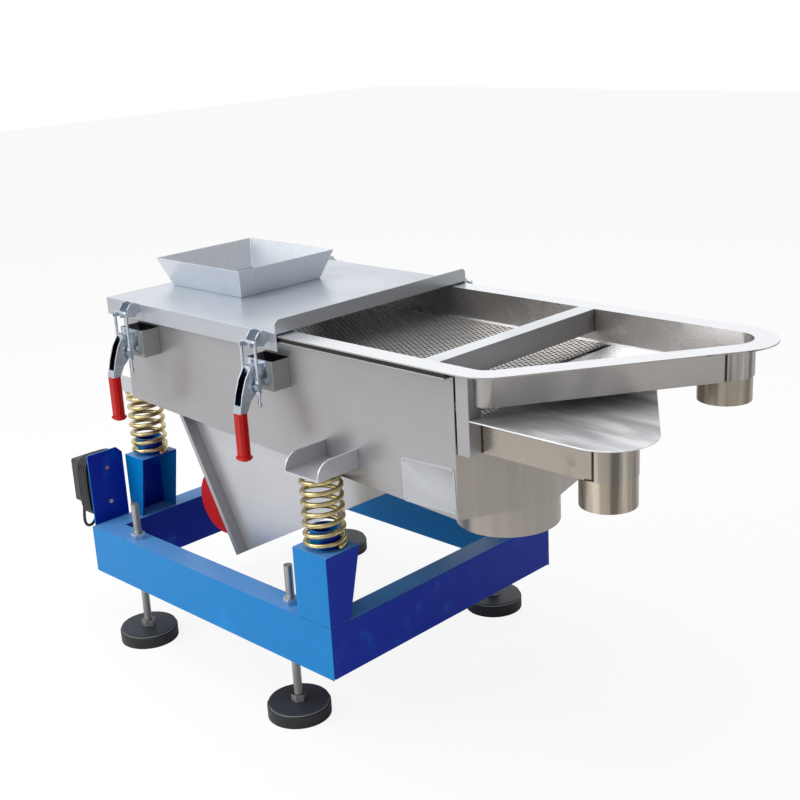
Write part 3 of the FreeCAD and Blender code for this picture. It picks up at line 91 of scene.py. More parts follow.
SPOUT_RADIUS = 45 * MM
TOP_SPOUT_INSET = 85.5 * MM
SECOND_SPOUT_INSET = 46.5 * MM
TOP_SPOUT = Vector((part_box("top_tray")[HIGH].x - TOP_SPOUT_INSET, spouts_high.y - SPOUT_RADIUS, tray_under))
SECOND_SPOUT = Vector((second_high.x - SECOND_SPOUT_INSET, spouts_low.y + SPOUT_RADIUS, second_low.z))
# How far past its spout each tray's bright tube starts.
TOP_TUBE_START = 28 * MM
SECOND_TUBE_START = 5 * MM


def station(name):
    """The middle of a node's box."""
    low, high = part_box(name)
    return (low + high) / 2


LATCH_X = {end: station(f"lever_near_{end}").x for end in ENDS}
BRACKET_HALF_WIDTH = 33 * MM


# --------------------------------------------------------------------------------------------- finishes


class Signal:
    """A socket of a finish, so that shading sums read as plain arithmetic."""

    def __init__(self, finish, socket):
        self.finish = finish
        self.socket = socket

    def maths(self, operation, *values):
        return self.finish.node("ShaderNodeMath", {"operation": operation}, *values)

    def __add__(self, other):
        return self.maths("ADD", self, other)

    def __mul__(self, other):
        return self.maths("MULTIPLY", self, other)

    def __sub__(self, other):
        return self.maths("SUBTRACT", self, other)

    def __rsub__(self, other):
        return self.maths("SUBTRACT", other, self)

    def __pow__(self, other):
        return self.maths("POWER", self, other)

    def __abs__(self):
        return self.maths("ABSOLUTE", self)

    __radd__ = __add__
    __rmul__ = __mul__

    def between(self, low, high):
        """0 below low and 1 above high, smooth in between; the other way round if low is the larger."""
        return self.finish.node(
            "ShaderNodeMapRange", {"interpolation_type": "SMOOTHSTEP"}, self, low, high, 0.0, 1.0
        )


def tone(red, green, blue):
    """A colour from its usual 0 to 255 values."""
    parts = [c / 255 for c in (red, green, blue)]
    return tuple(c / 12.92 if c < 0.04 else ((c + 0.055) / 1.055) ** 2.4 for c in parts) + (1.0,)


def shade(colour, share, lift=0):
    """A colour with its values multiplied by a share and then lifted, up to full."""
    return tone(*(min(255, c * share + lift) for c in colour))


# The sockets of Blender's Mix node for its factor and, where it mixes colours or numbers, its two values.
COLOUR_MIX = (0, 6, 7)
NUMBER_MIX = (0, 2, 3)


class Finish:
    """One procedural material that reads places on the object, in metres."""

    def __init__(self, name, metallic=0.0, coat=0.0, coat_roughness=0.1):
        self.material = bpy.data.materials.new(name)
        self.material.use_nodes = True
        self.tree = self.material.node_tree
        self.shader = self.tree.nodes["Principled BSDF"]
        self.place = self.node("ShaderNodeTexCoord", {}, out="Object")
        self.x, self.y, self.z = (
            self.node("ShaderNodeSeparateXYZ", {}, self.place, out=axis) for axis in "XYZ"
        )
        self.set(Metallic=metallic)
        self.shader.inputs["Coat Weight"].default_value = coat
        self.shader.inputs["Coat Roughness"].default_value = coat_roughness

    def feed(self, socket, value):
        if isinstance(value, Signal):
            self.tree.links.new(value.socket, socket)
        else:
            socket.default_value = value

    def node(self, kind, settings, *values, out=0, **named):
        made = self.tree.nodes.new(kind)
        for key, value in settings.items():
            setattr(made, key, value)
        for socket, value in zip(made.inputs, values):
            if value is not None:
                self.feed(socket, value)
        for key, value in named.items():
            self.feed(made.inputs[key.replace("_", " ")], value)
        return Signal(self, made.outputs[out])

    def set(self, **named):
        for key, value in named.items():
            self.feed(self.shader.inputs[key.replace("_", " ")], value)

    def facing(self, axis):
        """How much the surface faces along an axis of the object, from -1 to 1."""
        normal = self.node("ShaderNodeNewGeometry", {}, out="Normal")
        return self.node("ShaderNodeSeparateXYZ", {}, normal, out=axis)

    def noise(self, scale, detail=2.0, stretch=(1, 1, 1)):
        place = self.node("ShaderNodeMapping", {}, self.place, Scale=stretch)
        return self.node("ShaderNodeTexNoise", {}, Vector=place, Scale=scale, Detail=detail)

    def mix(self, share, first, second):
        made = self.tree.nodes.new("ShaderNodeMix")
        made.data_type = "RGBA"
        for socket, value in zip(COLOUR_MIX, (share, first, second)):
            self.feed(made.inputs[socket], value)
        return Signal(self, made.outputs[2])

    def span(self, axis, low, high, blur=0.0005):
        """1 between two values of an axis and 0 outside them."""
        return axis.between(low - blur, low + blur) * axis.between(high + blur, high - blur)

    def near(self, point, reach):
        """1 at a point of the object, fading to 0 at a reach."""
        away = self.node("ShaderNodeVectorMath", {"operation": "DISTANCE"}, self.place, point, out="Value")
        return away.between(reach, 0.0)

    def bump(self, height, strength, distance):
        self.set(Normal=self.node("ShaderNodeBump", {}, Strength=strength, Distance=distance, Height=height))


METAL = 0.72
BRIGHT_METAL = 0.82
BRACKET_SHADOW = (24, 26, 32)
WELD_BURN = (112, 88, 62)
WELD_STAIN = (118, 92, 60)
LEVER_SHADE = (26, 38, 62)
AZURE, SHADED_NAVY, TOP_LIGHT_SKY = (0, 124, 194), (0, 40, 158), (84, 142, 204)
# How far up a face must look to take its top colour, a painted highlight.
TOP_LIGHT_FACING = (0.5, 0.9)


def stainless(name, colour, grain=(3, 200, 200), roughness=0.34, top=None, tints=(), depth=0.06, bracket_shadows=()):
    """Brushed sheet: fine lines along the grain, faint smears, and heat tint round the welds.
    What faces up has the lighter colour called top, a painted highlight, where the sheet has one. A painted
    shadow patch is where a bracket shades it, given by its ends in X and Z."""
    made = Finish(name, metallic=METAL)
    lines = made.noise(1.0, 3.0, grain)
    smears = made.noise(7.0, 3.0)
    base = made.mix(lines, shade(colour, 1 - depth), shade(colour, 1 + depth))
    # Painted highlight: faces that look up take the top colour.
    if top:
        base = made.mix(made.facing("Z").between(*TOP_LIGHT_FACING), base, tone(*top))
    base = made.mix(smears.between(0.35, 0.75) * 0.25, base, shade(colour, 0.88))
    # Painted shadow where a bracket shades the sheet.
    for (left, right), (bottom, head) in bracket_shadows:
        patch = made.span(made.x, left, right) * made.span(made.z, bottom, head)
        base = made.mix(patch, base, tone(*BRACKET_SHADOW))
    for point, reach in tints:
        burn = made.near(point, reach) * (0.25 + 0.75 * made.noise(28.0, 3.0))
        base = made.mix(burn, base, tone(*WELD_BURN))
    made.set(Base_Color=base, Roughness=roughness - 0.06 + 0.10 * smears + 0.06 * lines)
    made.bump(lines, 0.06, 0.0004)
    return made


def swirled(name, colour):
    """Hand-polished sheet with cloudy swirls."""
    made = Finish(name, metallic=METAL)
    drift = made.noise(6.0, 2.0)
    sweep = (0, 0, math.radians(35))
    strokes = made.node("ShaderNodeMapping", {}, made.place, Rotation=sweep, Scale=(5, 26, 5))
    cloud = made.node("ShaderNodeTexNoise", {}, Vector=strokes, Scale=1.0, Detail=3.0, Distortion=0.8)
    base = made.mix(cloud.between(0.35, 0.7), shade(colour, 0.90), shade(colour, 1.12))
    made.set(Base_Color=base, Roughness=0.30 + 0.16 * cloud + 0.06 * drift)
    made.bump(cloud, 0.03, 0.0005)
    return made


def mirror_tube(name, colour, tints, start=None, top=None):
    """Bright tube with painted reflections: upright dark and pale bands in its colour, and brown stain at its
    welds.
    From a start along X only what lies past it has the bands."""
    made = Finish(name, metallic=BRIGHT_METAL)
    bands = made.noise(1.0, 2.0, (46, 46, 1.5))
    past = made.x.between(start - 1 * MM, start + 1 * MM) if start else 1.0
    stain = made.noise(30.0, 3.0)
    # Painted reflection: dark and pale upright bands.
    base = made.mix(bands.between(0.52, 0.32) * past, tone(*colour), shade(colour, 0.66))
    base = made.mix(bands.between(0.56, 0.68) * past, base, shade(colour, 1.24))
    # Painted highlight: faces that look up take the top colour.
    if top:
        base = made.mix(made.facing("Z").between(*TOP_LIGHT_FACING), base, tone(*top))
    for point, reach in tints:
        base = made.mix(made.near(point, reach) * stain.between(0.45, 0.7), base, tone(*WELD_STAIN))
    made.set(Base_Color=base, Roughness=0.22 + 0.1 * stain)
    made.bump(stain, 0.012, 0.0004)
    return made


def pad_moulding():
    """Black rubber under a greyer top disc, with a thin bright seam between them."""
    made = Finish("foot pad rubber")
    speck = made.noise(420.0)
    disc = made.z.between(24.0 * MM, 24.6 * MM)
    seam = made.z.between(23.4 * MM, 23.9 * MM) * made.z.between(25.0 * MM, 24.5 * MM)
    base = made.mix(disc, tone(15, 16, 18), tone(38, 41, 48))
    base = made.mix(seam, base, tone(186, 190, 196))
    made.set(Base_Color=base, Roughness=0.44 + 0.14 * speck)
    made.bump(speck, 0.12, 0.0003)
    return made


def enamel(name, lit, shaded, top):
    """Gloss paint on steel. Painted shade makes the side that faces the outlets deeper than the lit long
    sides, and a painted highlight makes what faces up lighter.
    """
    made = Finish(name, coat=0.06, coat_roughness=0.15)
    made.set(Specular_IOR_Level=0.15)
    mottle = made.noise(260.0, 2.0)
    wear = made.noise(18.0, 3.0).between(0.55, 0.8)
    # Painted shade: faces that look along X take the shaded colour.
    base = made.mix(made.facing("X").between(0.2, 0.8), tone(*lit), tone(*shaded))
    # Painted highlight: faces that look up take the top colour.
    base = made.mix(made.facing("Z").between(*TOP_LIGHT_FACING), base, tone(*top))
    base = made.mix(wear * 0.18, base, shade(lit, 1.25, 8))
    made.set(Base_Color=base, Roughness=0.32 + 0.12 * mottle)
    made.bump(mottle, 0.10, 0.0004)
    return made


def plated(name, colour, roughness=0.22, patches=0.35, middle=None):
    """Zinc plating: bright, with cloudy patches. The faces that look at each other across a middle
    are painted dark, as shade."""
    made = Finish(name, metallic=1.0)
    cloud = made.noise(60.0, 3.0)
    base = made.mix(cloud.between(0.3, 0.7) * patches, tone(*colour), shade(colour, 0.72))
    if middle is not None:
        # Painted shade on the lever faces that look inward.
        inward = (made.x - middle) * made.facing("X")
        base = made.mix(inward.between(-2 * MM, -4 * MM), base, tone(*LEVER_SHADE))
    made.set(Base_Color=base, Roughness=roughness + 0.15 * cloud)
    made.bump(made.noise(400.0), 0.05, 0.0002)
    return made


def threaded(name, colour, pitch):
    """A plated rod with a thread, as ridges round its length, with painted shade in the grooves."""
    made = Finish(name, metallic=1.0)
    turn = made.node("ShaderNodeMath", {"operation": "FRACT"}, made.z * (1 / pitch))
    ridge = abs(turn - 0.5) * 2.0
    # Painted shade in the thread's grooves.
    base = made.mix(ridge, shade(colour, 0.55), tone(*colour))
    made.set(Base_Color=base, Roughness=0.28)
    made.bump(ridge, 0.5, 0.0008)
    return made


def moulded(name, colour, roughness, coat=0.0, grain=500.0):
    """Rubber or plastic with a fine moulded grain and a little wear."""
    made = Finish(name, coat=coat)
    speck = made.noise(grain)
    scuff = made.noise(22.0, 4.0).between(0.5, 0.8)
    base = made.mix(scuff * 0.25, tone(*colour), shade(colour, 1.3, 12))
    made.set(Base_Color=base, Roughness=roughness + 0.12 * scuff)
    made.bump(speck, 0.12, 0.0003)
    return made


# Where heat has stained the sheet: a point, how far the stain's middle lies from it, and its reach, in mm.
SEAM_MARKS = tuple(
    (point + Vector(shift) * MM, reach * MM)
    for point, shift, reach in (
        (TOP_SPOUT, (-40, -46, 5), 35),
        (SECOND_SPOUT, (-30, -40, 4), 40),
        (Vector((box_end, -box_side, tray_under)), (6, 0, 10), 30),
        (station("tray_crossbar"), (17, 207, -4), 30),
        (station("tray_crossbar"), (17, -200, -10), 40),
    )
)
# Blue enamel in lit, painted-shade and painted-highlight colours.
blue_paint = enamel("blue enamel", AZURE, SHADED_NAVY, TOP_LIGHT_SKY)
# Painted shadows on the near side sheet where the latch brackets shade it, by their ends in X and Z.
shaded = [
    ((x - BRACKET_HALF_WIDTH, x + BRACKET_HALF_WIDTH), (bracket_low.z + 2 * MM, bracket_high.z + 1 * MM))
    for x in LATCH_X.values()
]
side_steel = stainless("side sheet", (164, 163, 165), depth=0.03, bracket_shadows=shaded)
wall_steel = stainless("rear sheet", (160, 160, 162))
# The top colours of the trays, crossbar and lid are painted highlights on the faces that look up.
tray_steel = mirror_tube("tray sheet", (170, 166, 163), SEAM_MARKS, start=TOP_SPOUT.x + TOP_TUBE_START,
                         top=(236, 238, 242))
box_steel = mirror_tube("second tray sheet", (158, 151, 141), SEAM_MARKS,
                        start=SECOND_SPOUT.x + SECOND_TUBE_START, top=(196, 194, 192))
cover_steel = swirled("polished cover", (224, 226, 231))
bar_steel = stainless("crossbar sheet", (160, 157, 160), grain=(200, 3, 200), top=(226, 230, 234),
                      tints=SEAM_MARKS)
seat_steel = stainless("seat sheet", (196, 197, 202))
bracket_steel = stainless("bracket sheet", (168, 170, 170))
lever_plating_and_shade = {end: plated(f"lever zinc {end}", (206, 214, 224), middle=x) for end, x in LATCH_X.items()}
plate_steel = stainless("motor plate sheet", (164, 164, 168), depth=0.03)
gusset_steel = stainless("gusset sheet", (190, 191, 195), depth=0.03)
lid_steel = stainless("satin lid sheet", (186, 190, 196), grain=(3, 160, 160), roughness=0.30,
                      top=(202, 209, 217), depth=0.03)
hopper_steel = stainless("hopper sheet", (206, 211, 218), grain=(160, 160, 3), roughness=0.30, depth=0.04)
chute_steel = stainless("chute sheet", (164, 157, 150), grain=(60, 60, 3), roughness=0.28, depth=0.08)
spout_steel = mirror_tube("spout tube", (164, 155, 141), SEAM_MARKS)
screen_steel = stainless("screen sheet", (204, 202, 200), roughness=0.30)
weld_metal = plated("weld metal", (92, 78, 66), roughness=0.34, patches=0.6)
plate_metal = stainless("rating plate sheet", (184, 186, 190), roughness=0.30, depth=0.02)
plating = plated("bright zinc", (206, 214, 224))
studs = threaded("threaded zinc", (205, 205, 202), 2.0 * MM)
yellow_zinc = plated("yellow zinc", (218, 200, 148), roughness=0.20, patches=0.8)
seal_rubber = moulded("seal rubber", (12, 12, 13), 0.6)
red_vinyl = moulded("red vinyl", (176, 0, 0), 0.34, coat=0.06, grain=900.0)
red_vinyl.set(Specular_IOR_Level=0.2)
pad_rubber = pad_moulding()
black_plastic = moulded("black housing", (20, 21, 23), 0.4)
jacket = moulded("cable jacket", (16, 17, 19), 0.35, grain=900.0)
# Red enamel in lit, painted-shade and painted-highlight colours.
motor_paint = enamel("red enamel", (196, 34, 34), (150, 18, 22), (205, 60, 58))
green_cap = moulded("green cap", (24, 140, 62), 0.3, coat=0.3)
red_cap = moulded("red cap", (200, 26, 28), 0.3, coat=0.3)
dark_steel = plated("machined steel", (120, 120, 124), roughness=0.4)


# --------------------------------------------------------------------------------------------- pieces


def shown(name, data):
    """A new object in the scene."""
    obj = bpy.data.objects.new(name, data)
    bpy.context.scene.collection.objects.link(obj)
    return obj


def surface(name, shape, finish):
    """The bmesh as a smooth-shaded mesh in one finish."""
    mesh = bpy.data.meshes.new(name)
    shape.to_mesh(mesh)
    shape.free()
    mesh.polygons.foreach_set("use_smooth", [True] * len(mesh.polygons))
    mesh.materials.append(finish.material)
    return mesh


def piece(name, shape, body, finish, slot, replaces=(), smooth=35):
    """Turns a bmesh into a shown piece that rides on a body."""
    mesh = surface(name, shape, finish)
    mesh.set_sharp_from_angle(angle=math.radians(smooth))
    obj = shown(name, mesh)
    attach(obj, body)
    if replaces:
        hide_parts(*replaces)
    return obj


def slot_of(node):
    """The material slot that the record gives the node."""
    return next(s["material_slot"] for s in frame["record"]["subparts"] if s["node"] == node)


def copied(node):
    """The node's own surface as a bmesh, merged, with its flat faces whole again."""
    shape = bmesh.new()
    shape.from_mesh(nodes[node].data)
    bmesh.ops.remove_doubles(shape, verts=shape.verts, dist=0.00002)
    bmesh.ops.dissolve_limit(
        shape, angle_limit=math.radians(1), verts=shape.verts, edges=shape.edges, delimit=set()
    )
    return shape


def eased(node, radius, finish, segments=2):
    """The node with its corners eased, as folded or ground metal has them."""
    obj = piece(f"{node}_eased", copied(node), nodes[node]["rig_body"], finish, slot_of(node), (node,), 30)
    bevel = obj.modifiers.new("corners", "BEVEL")
    bevel.width = radius
    bevel.segments = segments
    bevel.limit_method = "ANGLE"
    bevel.angle_limit = math.radians(40)
    bevel.harden_normals = True
    return obj


def painted(finish, *names):
    """Gives nodes that keep their own surface a finish."""
    for name in names:
        slots = nodes[name].data.materials
        slots.clear()
        slots.append(finish.material)


def corner_nodes(kind):
    return [f"{kind}_{side}_{end}" for side, _ in SIDES for end in ENDS]


for name in ("discharge_posts", "hopper_posts", "switch_plate"):
    eased(name, 1.6 * MM, blue_paint)
for name in ("near_rail", "far_rail", "hopper_end_rail", "discharge_end_rail"):
    eased(name, 4 * MM, blue_paint, 3)
# The folded sheets: finish, radius of the eased corners in mm, and nodes.
SHEETS = (
    (side_steel, 0.8, ("side_plate_near", "side_plate_far", "end_cheeks")),
    (wall_steel, 0.8, ("hopper_end_wall",)),
    (seat_steel, 0.8, ("spring_seats",)),
    (bracket_steel, 0.8, ("latch_brackets",)),
    (tray_steel, 0.9, ("top_tray",)),
    (box_steel, 0.9, ("second_tray",)),
    (cover_steel, 0.9, ("second_cover",)),
    (bar_steel, 0.9, ("tray_crossbar",)),
    (plate_steel, 1.0, ("motor_plate",)),
    (gusset_steel, 1.0, ("motor_gussets",)),
    (lid_steel, 1.6, ("lid",)),
    (hopper_steel, 1.0, ("feed_hopper",)),
)
for finish, radius, names in SHEETS:
    for name in names:
        eased(name, radius * MM, finish)
painted(side_steel, "bottom_pan")
painted(chute_steel, "bottom_chute")
painted(spout_steel, "tray_spouts")
painted(plating, "latch_bases", "latch_hooks", "latch_screws", "foot_lock_nuts", "panel_screws",
        *corner_nodes("u_bolt"))
for end, zinc in lever_plating_and_shade.items():
    painted(zinc, f"lever_near_{end}", f"lever_far_{end}")
painted(studs, *corner_nodes("foot_stud"))
painted(pad_rubber, *corner_nodes("foot_pad"))
painted(red_vinyl, *corner_nodes("grip"))
painted(seal_rubber, "rim_seals")
painted(motor_paint, "motor_housing", "motor_covers")
painted(dark_steel, "motor_rotor")
painted(black_plastic, "switch_box")
painted(green_cap, "start_button")
painted(red_cap, "stop_button")


# ---------------------------------------------------------------------------------------- supply cable

CABLE = 6.6 * MM
WINDING_STEP = 6.9 * MM
WINDING_CLEARANCE = 7.8 * MM
# In turns from where the winding starts: the inner layer's end, the step out, and the outer layer's end.
TURNS = 4.5
CHANGE = 0.25
LAST = 9.45
POINTS_PER_TURN = 24
# How much of a rounded square the winding is, rather than an ellipse.
SQUARENESS = 0.12
# From the box's underside in a hanging bend to the first turn: from where that turn starts, in mm.
LEAD_IN = (
    (-25.2, 0, -48), (-25.2, 0, -60), (-25.2, 0, -74), (-24.2, -1.5, -89), (-22.2, -8, -99),
    (-19.2, -20, -104), (-15.2, -32, -99), (-11.2, -38.5, -86), (-7.7, -39.5, -68), (-4.7, -38.8, -50),
    (-2.2, -38.6, -32), (-0.6, -38.7, -16),
)


def winding_start():
    middle = (switch_low + switch_high) / 2
    return Vector((winding_start_x + CABLE / 2 - 0.1 * MM, middle.y, middle.z))


def on_winding(turn):
    """A point of the cable wound round the switch box: out along the inner layer, back along the outer."""
    outer = min(1.0, max(0.0, (turn - TURNS) / CHANGE)) * WINDING_STEP
    half_y = (switch_high.y - switch_low.y) / 2 + WINDING_CLEARANCE + outer
    half_z = (switch_high.z - switch_low.z) / 2 + WINDING_CLEARANCE + outer
    along = (min(turn, TURNS) - max(0.0, turn - TURNS - CHANGE)) * WINDING_STEP
    angle = 2 * math.pi * turn
    across = (1 + SQUARENESS) * math.cos(angle) - SQUARENESS * math.cos(3 * angle)
    rise = (1 + SQUARENESS) * math.sin(angle) + SQUARENESS * math.sin(3 * angle)
    return winding_start() + Vector((along, -half_y * across, half_z * rise))


def supply_cable():
    """The machine's lead, wound round its switch box in two layers for transport."""
    start = winding_start()
    route = [start + Vector(p) * MM for p in LEAD_IN]
    route += [on_winding(n / POINTS_PER_TURN) for n in range(int(LAST * POINTS_PER_TURN) + 1)]
    curve = bpy.data.curves.new("supply_cable", "CURVE")
    curve.dimensions = "3D"
    curve.bevel_depth = CABLE / 2
    curve.bevel_resolution = 3
    curve.resolution_u = 3
    curve.use_fill_caps = True
    spline = curve.splines.new("NURBS")
    spline.points.add(len(route) - 1)
    for point, place in zip(spline.points, route):
        point.co = (*place, 1)
    spline.order_u = 3
    spline.use_endpoint_u = True
    curve.materials.append(jacket.material)
    obj = shown("supply_cable", curve)
    body = nodes["switch_box"]["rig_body"]
    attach(obj, body)
    slot_of("cable_winding")
    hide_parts("cable_winding")
    ahead = (route[-1] - route[-2]).normalized()
    pieces = [strain_relief(route[0], body), lead_cores(route[-1], ahead, body)]


def turned(profile, centre, segments=24):
    """A round shape about the Z axis through a point, from radii and heights, closed at both ends."""
    shape = bmesh.new()
    points = [shape.verts.new(centre + Vector((radius, 0, height))) for radius, height in profile]
    edges = [shape.edges.new(pair) for pair in zip(points, points[1:])]
    bmesh.ops.spin(shape, geom=points + edges, cent=centre, axis=(0, 0, 1), angle=2 * math.pi,
                   steps=segments, use_merge=True, use_duplicate=False)
    bmesh.ops.remove_doubles(shape, verts=shape.verts, dist=1e-6)
    bmesh.ops.recalc_face_normals(shape, faces=shape.faces)
    return shape


def strain_relief(exit, body):
    """Nut and tapered sleeve where the cable leaves the box."""
    bore = CABLE / 2 - 0.05 * MM
    nut = [(8.5 * MM, 0), (8.5 * MM, -5 * MM)]
    sleeve = [
        (6.4 * MM, -5.5 * MM), (6.0 * MM, -9 * MM), (5.4 * MM, -9.4 * MM),
        (5.2 * MM, -14 * MM), (4.6 * MM, -14.4 * MM), (4.4 * MM, -20 * MM),
    ]
    shape = turned([(bore, 0), *nut, *sleeve, (bore, -20.5 * MM), (bore, 0)], exit)
    return piece("strain_relief", shape, body, black_plastic, slot_of("cable_winding"))


def lead_cores(end, ahead, body):
    """Three insulated cores at the lead's end, each in a crimped ferrule."""
    cores = 3
    from_middle = 1.6 * MM
    insulation, ferrule = (1.3, -1, 22), (0.8, 21, 30)
    shape = bmesh.new()
    for turn in range(cores):
        side = Matrix.Rotation(turn * 2 * math.pi / cores, 3, ahead) @ ahead.orthogonal()
        for radius, back, front in (insulation, ferrule):
            middle = end + ahead * ((back + front) / 2 * MM) + side * from_middle
            place = Matrix.Translation(middle) @ ahead.to_track_quat("Z", "Y").to_matrix().to_4x4()
            bmesh.ops.create_cone(shape, cap_ends=True, segments=10, radius1=radius * MM,
                                  radius2=radius * MM, depth=(front - back) * MM, matrix=place)
    return piece("lead_cores", shape, body, plating, slot_of("cable_winding"))


supply_cable()


# --------------------------------------------------------------------------------------------- screens

HOLE_PITCH = 10.77 * MM
HOLE_RADIUS = 4.3 * MM
EDGE_STRIP = 10 * MM


def corners_of(geometry):
    return [item for item in geometry if isinstance(item, bmesh.types.BMVert)]


def repeated(shape, count, step, stagger=0.0):
    """Copies the whole shape so that there are count of it, each a step further, odd ones staggered in Y."""
    source = shape.verts[:] + shape.edges[:] + shape.faces[:]
    for number in range(1, count):
        made = bmesh.ops.duplicate(shape, geom=source)["geom"]
        shift = Vector(step) * number + Vector((0, stagger * (number % 2), 0))
        bmesh.ops.translate(shape, verts=corners_of(made), vec=shift)


def deck(name, body_node):
    """Perforated sheet: holes in staggered rows inside a plain edge, grown from one six-sided cell."""
    low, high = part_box(body_node)
    sheet = high.z - low.z
    rows_apart = HOLE_PITCH * math.sqrt(3) / 2
    inner_low, inner_high = low + Vector((EDGE_STRIP,) * 3), high - Vector((EDGE_STRIP,) * 3)
    rows = int((inner_high.x - inner_low.x) / rows_apart)
    across = int((inner_high.y - inner_low.y) / HOLE_PITCH - 0.5)
    shape = bmesh.new()
    turn = Matrix.Rotation(math.radians(30), 4, "Z")
    for radius in (HOLE_PITCH / math.sqrt(3), HOLE_RADIUS):
        bmesh.ops.create_circle(shape, segments=6, radius=radius, matrix=turn)
    bmesh.ops.bridge_loops(shape, edges=shape.edges[:])
    first_row = inner_high.x - (rows - 1) * rows_apart - HOLE_PITCH / 2
    start = Vector((first_row, -(across - 0.5) * HOLE_PITCH / 2, high.z))
    bmesh.ops.translate(shape, verts=shape.verts, vec=start)
    repeated(shape, across, (0, HOLE_PITCH, 0))
    repeated(shape, rows, (rows_apart, 0, 0), HOLE_PITCH / 2)
    bmesh.ops.remove_doubles(shape, verts=shape.verts, dist=0.05 * MM)
    rim = bmesh.ops.create_grid(shape, x_segments=1, y_segments=1, size=0.5)["verts"]
    size = Matrix.Diagonal((high.x - low.x, high.y - low.y, 1, 1))
    place = Matrix.Translation(((low.x + high.x) / 2, (low.y + high.y) / 2, high.z + 0.05 * MM))
    bmesh.ops.transform(shape, matrix=place @ size, verts=rim)
    panel = rim[0].link_faces[0]
    bmesh.ops.inset_region(shape, faces=[panel], thickness=EDGE_STRIP + 3.5 * MM, use_even_offset=True)
    bmesh.ops.delete(shape, geom=[panel], context="FACES")
    bmesh.ops.recalc_face_normals(shape, faces=shape.faces)
    if shape.faces[0].normal.z < 0:
        bmesh.ops.reverse_faces(shape, faces=shape.faces)
    bmesh.ops.solidify(shape, geom=shape.faces[:], thickness=sheet)
    piece(name, shape, nodes[body_node]["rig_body"], screen_steel, slot_of(body_node), (body_node,))


deck("top_deck_sheet", "top_screen")
deck("second_deck_sheet", "second_screen")


# ------------------------------------------------------------------------------- welds and rating plate


def on_side(x, z, *names):
    """Where a line from the near side meets the nodes, and which way the sheet faces there."""
    hits = []
    for name in names:
        sheet = copied(name)
        place, normal, _, _ = BVHTree.FromBMesh(sheet).ray_cast(Vector((x, -1, z)), Vector((0, 1, 0)))
        sheet.free()
        if place:
            hits.append((place.y, place, normal))
    return min(hits, key=lambda item: item[0])[1:]


def weld(shape, places, size=2.2 * MM):
    """Overlapping drops of weld metal at the places."""
    for place in places:
        squashed = Matrix.Translation(place) @ Matrix.Diagonal((size, size, size * 0.9, 1))
        bmesh.ops.create_icosphere(shape, subdivisions=1, radius=1.0, matrix=squashed)


def ring(centre, radius, count, first=0.0, last=1.0):
    """Places round a circle, from one share of its turn to another."""
    for number in range(count):
        angle = 2 * math.pi * (first + (last - first) * number / count)
        yield centre + Vector((radius * math.cos(angle), radius * math.sin(angle), 0))


def run(start, end, step=2.6 * MM):
    """Places along a straight line, both ends included."""
    start, end = Vector(start), Vector(end)
    count = int((end - start).length / step)
    for number in range(count + 1):
        yield start.lerp(end, number / count)


def welds():
    """The weld seams that show: round the top spout, at the crossbar, at the cheeks and on the trays."""
    fine_bead, wide_bead = 1.8 * MM, 2.6 * MM
    shape = bmesh.new()
    weld(shape, ring(TOP_SPOUT - Vector((0, 0, 0.8 * MM)), SPOUT_RADIUS + 0.6 * MM, 60, 0.45, 0.85))
    bar_low, bar_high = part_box("tray_crossbar")
    for x in (bar_low.x, bar_high.x):
        for y in (bar_low.y, bar_high.y):
            weld(shape, run((x, y, bar_low.z + 2 * MM), (x, y, bar_high.z - 5 * MM)), fine_bead)
    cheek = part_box("end_cheeks")[HIGH].x
    for side in (-1, 1):
        y = side * (abs(second_low.y) + 1.0 * MM)
        weld(shape, run((cheek, y, second_low.z + 2 * MM), (cheek, y, second_high.z - 4 * MM)), fine_bead)
    for node, spout, past in (
        ("top_tray", TOP_SPOUT, TOP_TUBE_START), ("second_tray", SECOND_SPOUT, SECOND_TUBE_START),
    ):
        low, high = spout.z + 3 * MM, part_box(node)[HIGH].z - 6 * MM
        foot, head = (on_side(spout.x + past, z, node)[0] for z in (low, high))
        weld(shape, run(foot, head, 3.4 * MM), wide_bead)
        weld(shape, run(foot, foot - Vector((14 * MM, 0, 2 * MM))))
    piece("weld_beads", shape, nodes["top_tray"]["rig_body"], weld_metal, slot_of("top_tray"))


welds()


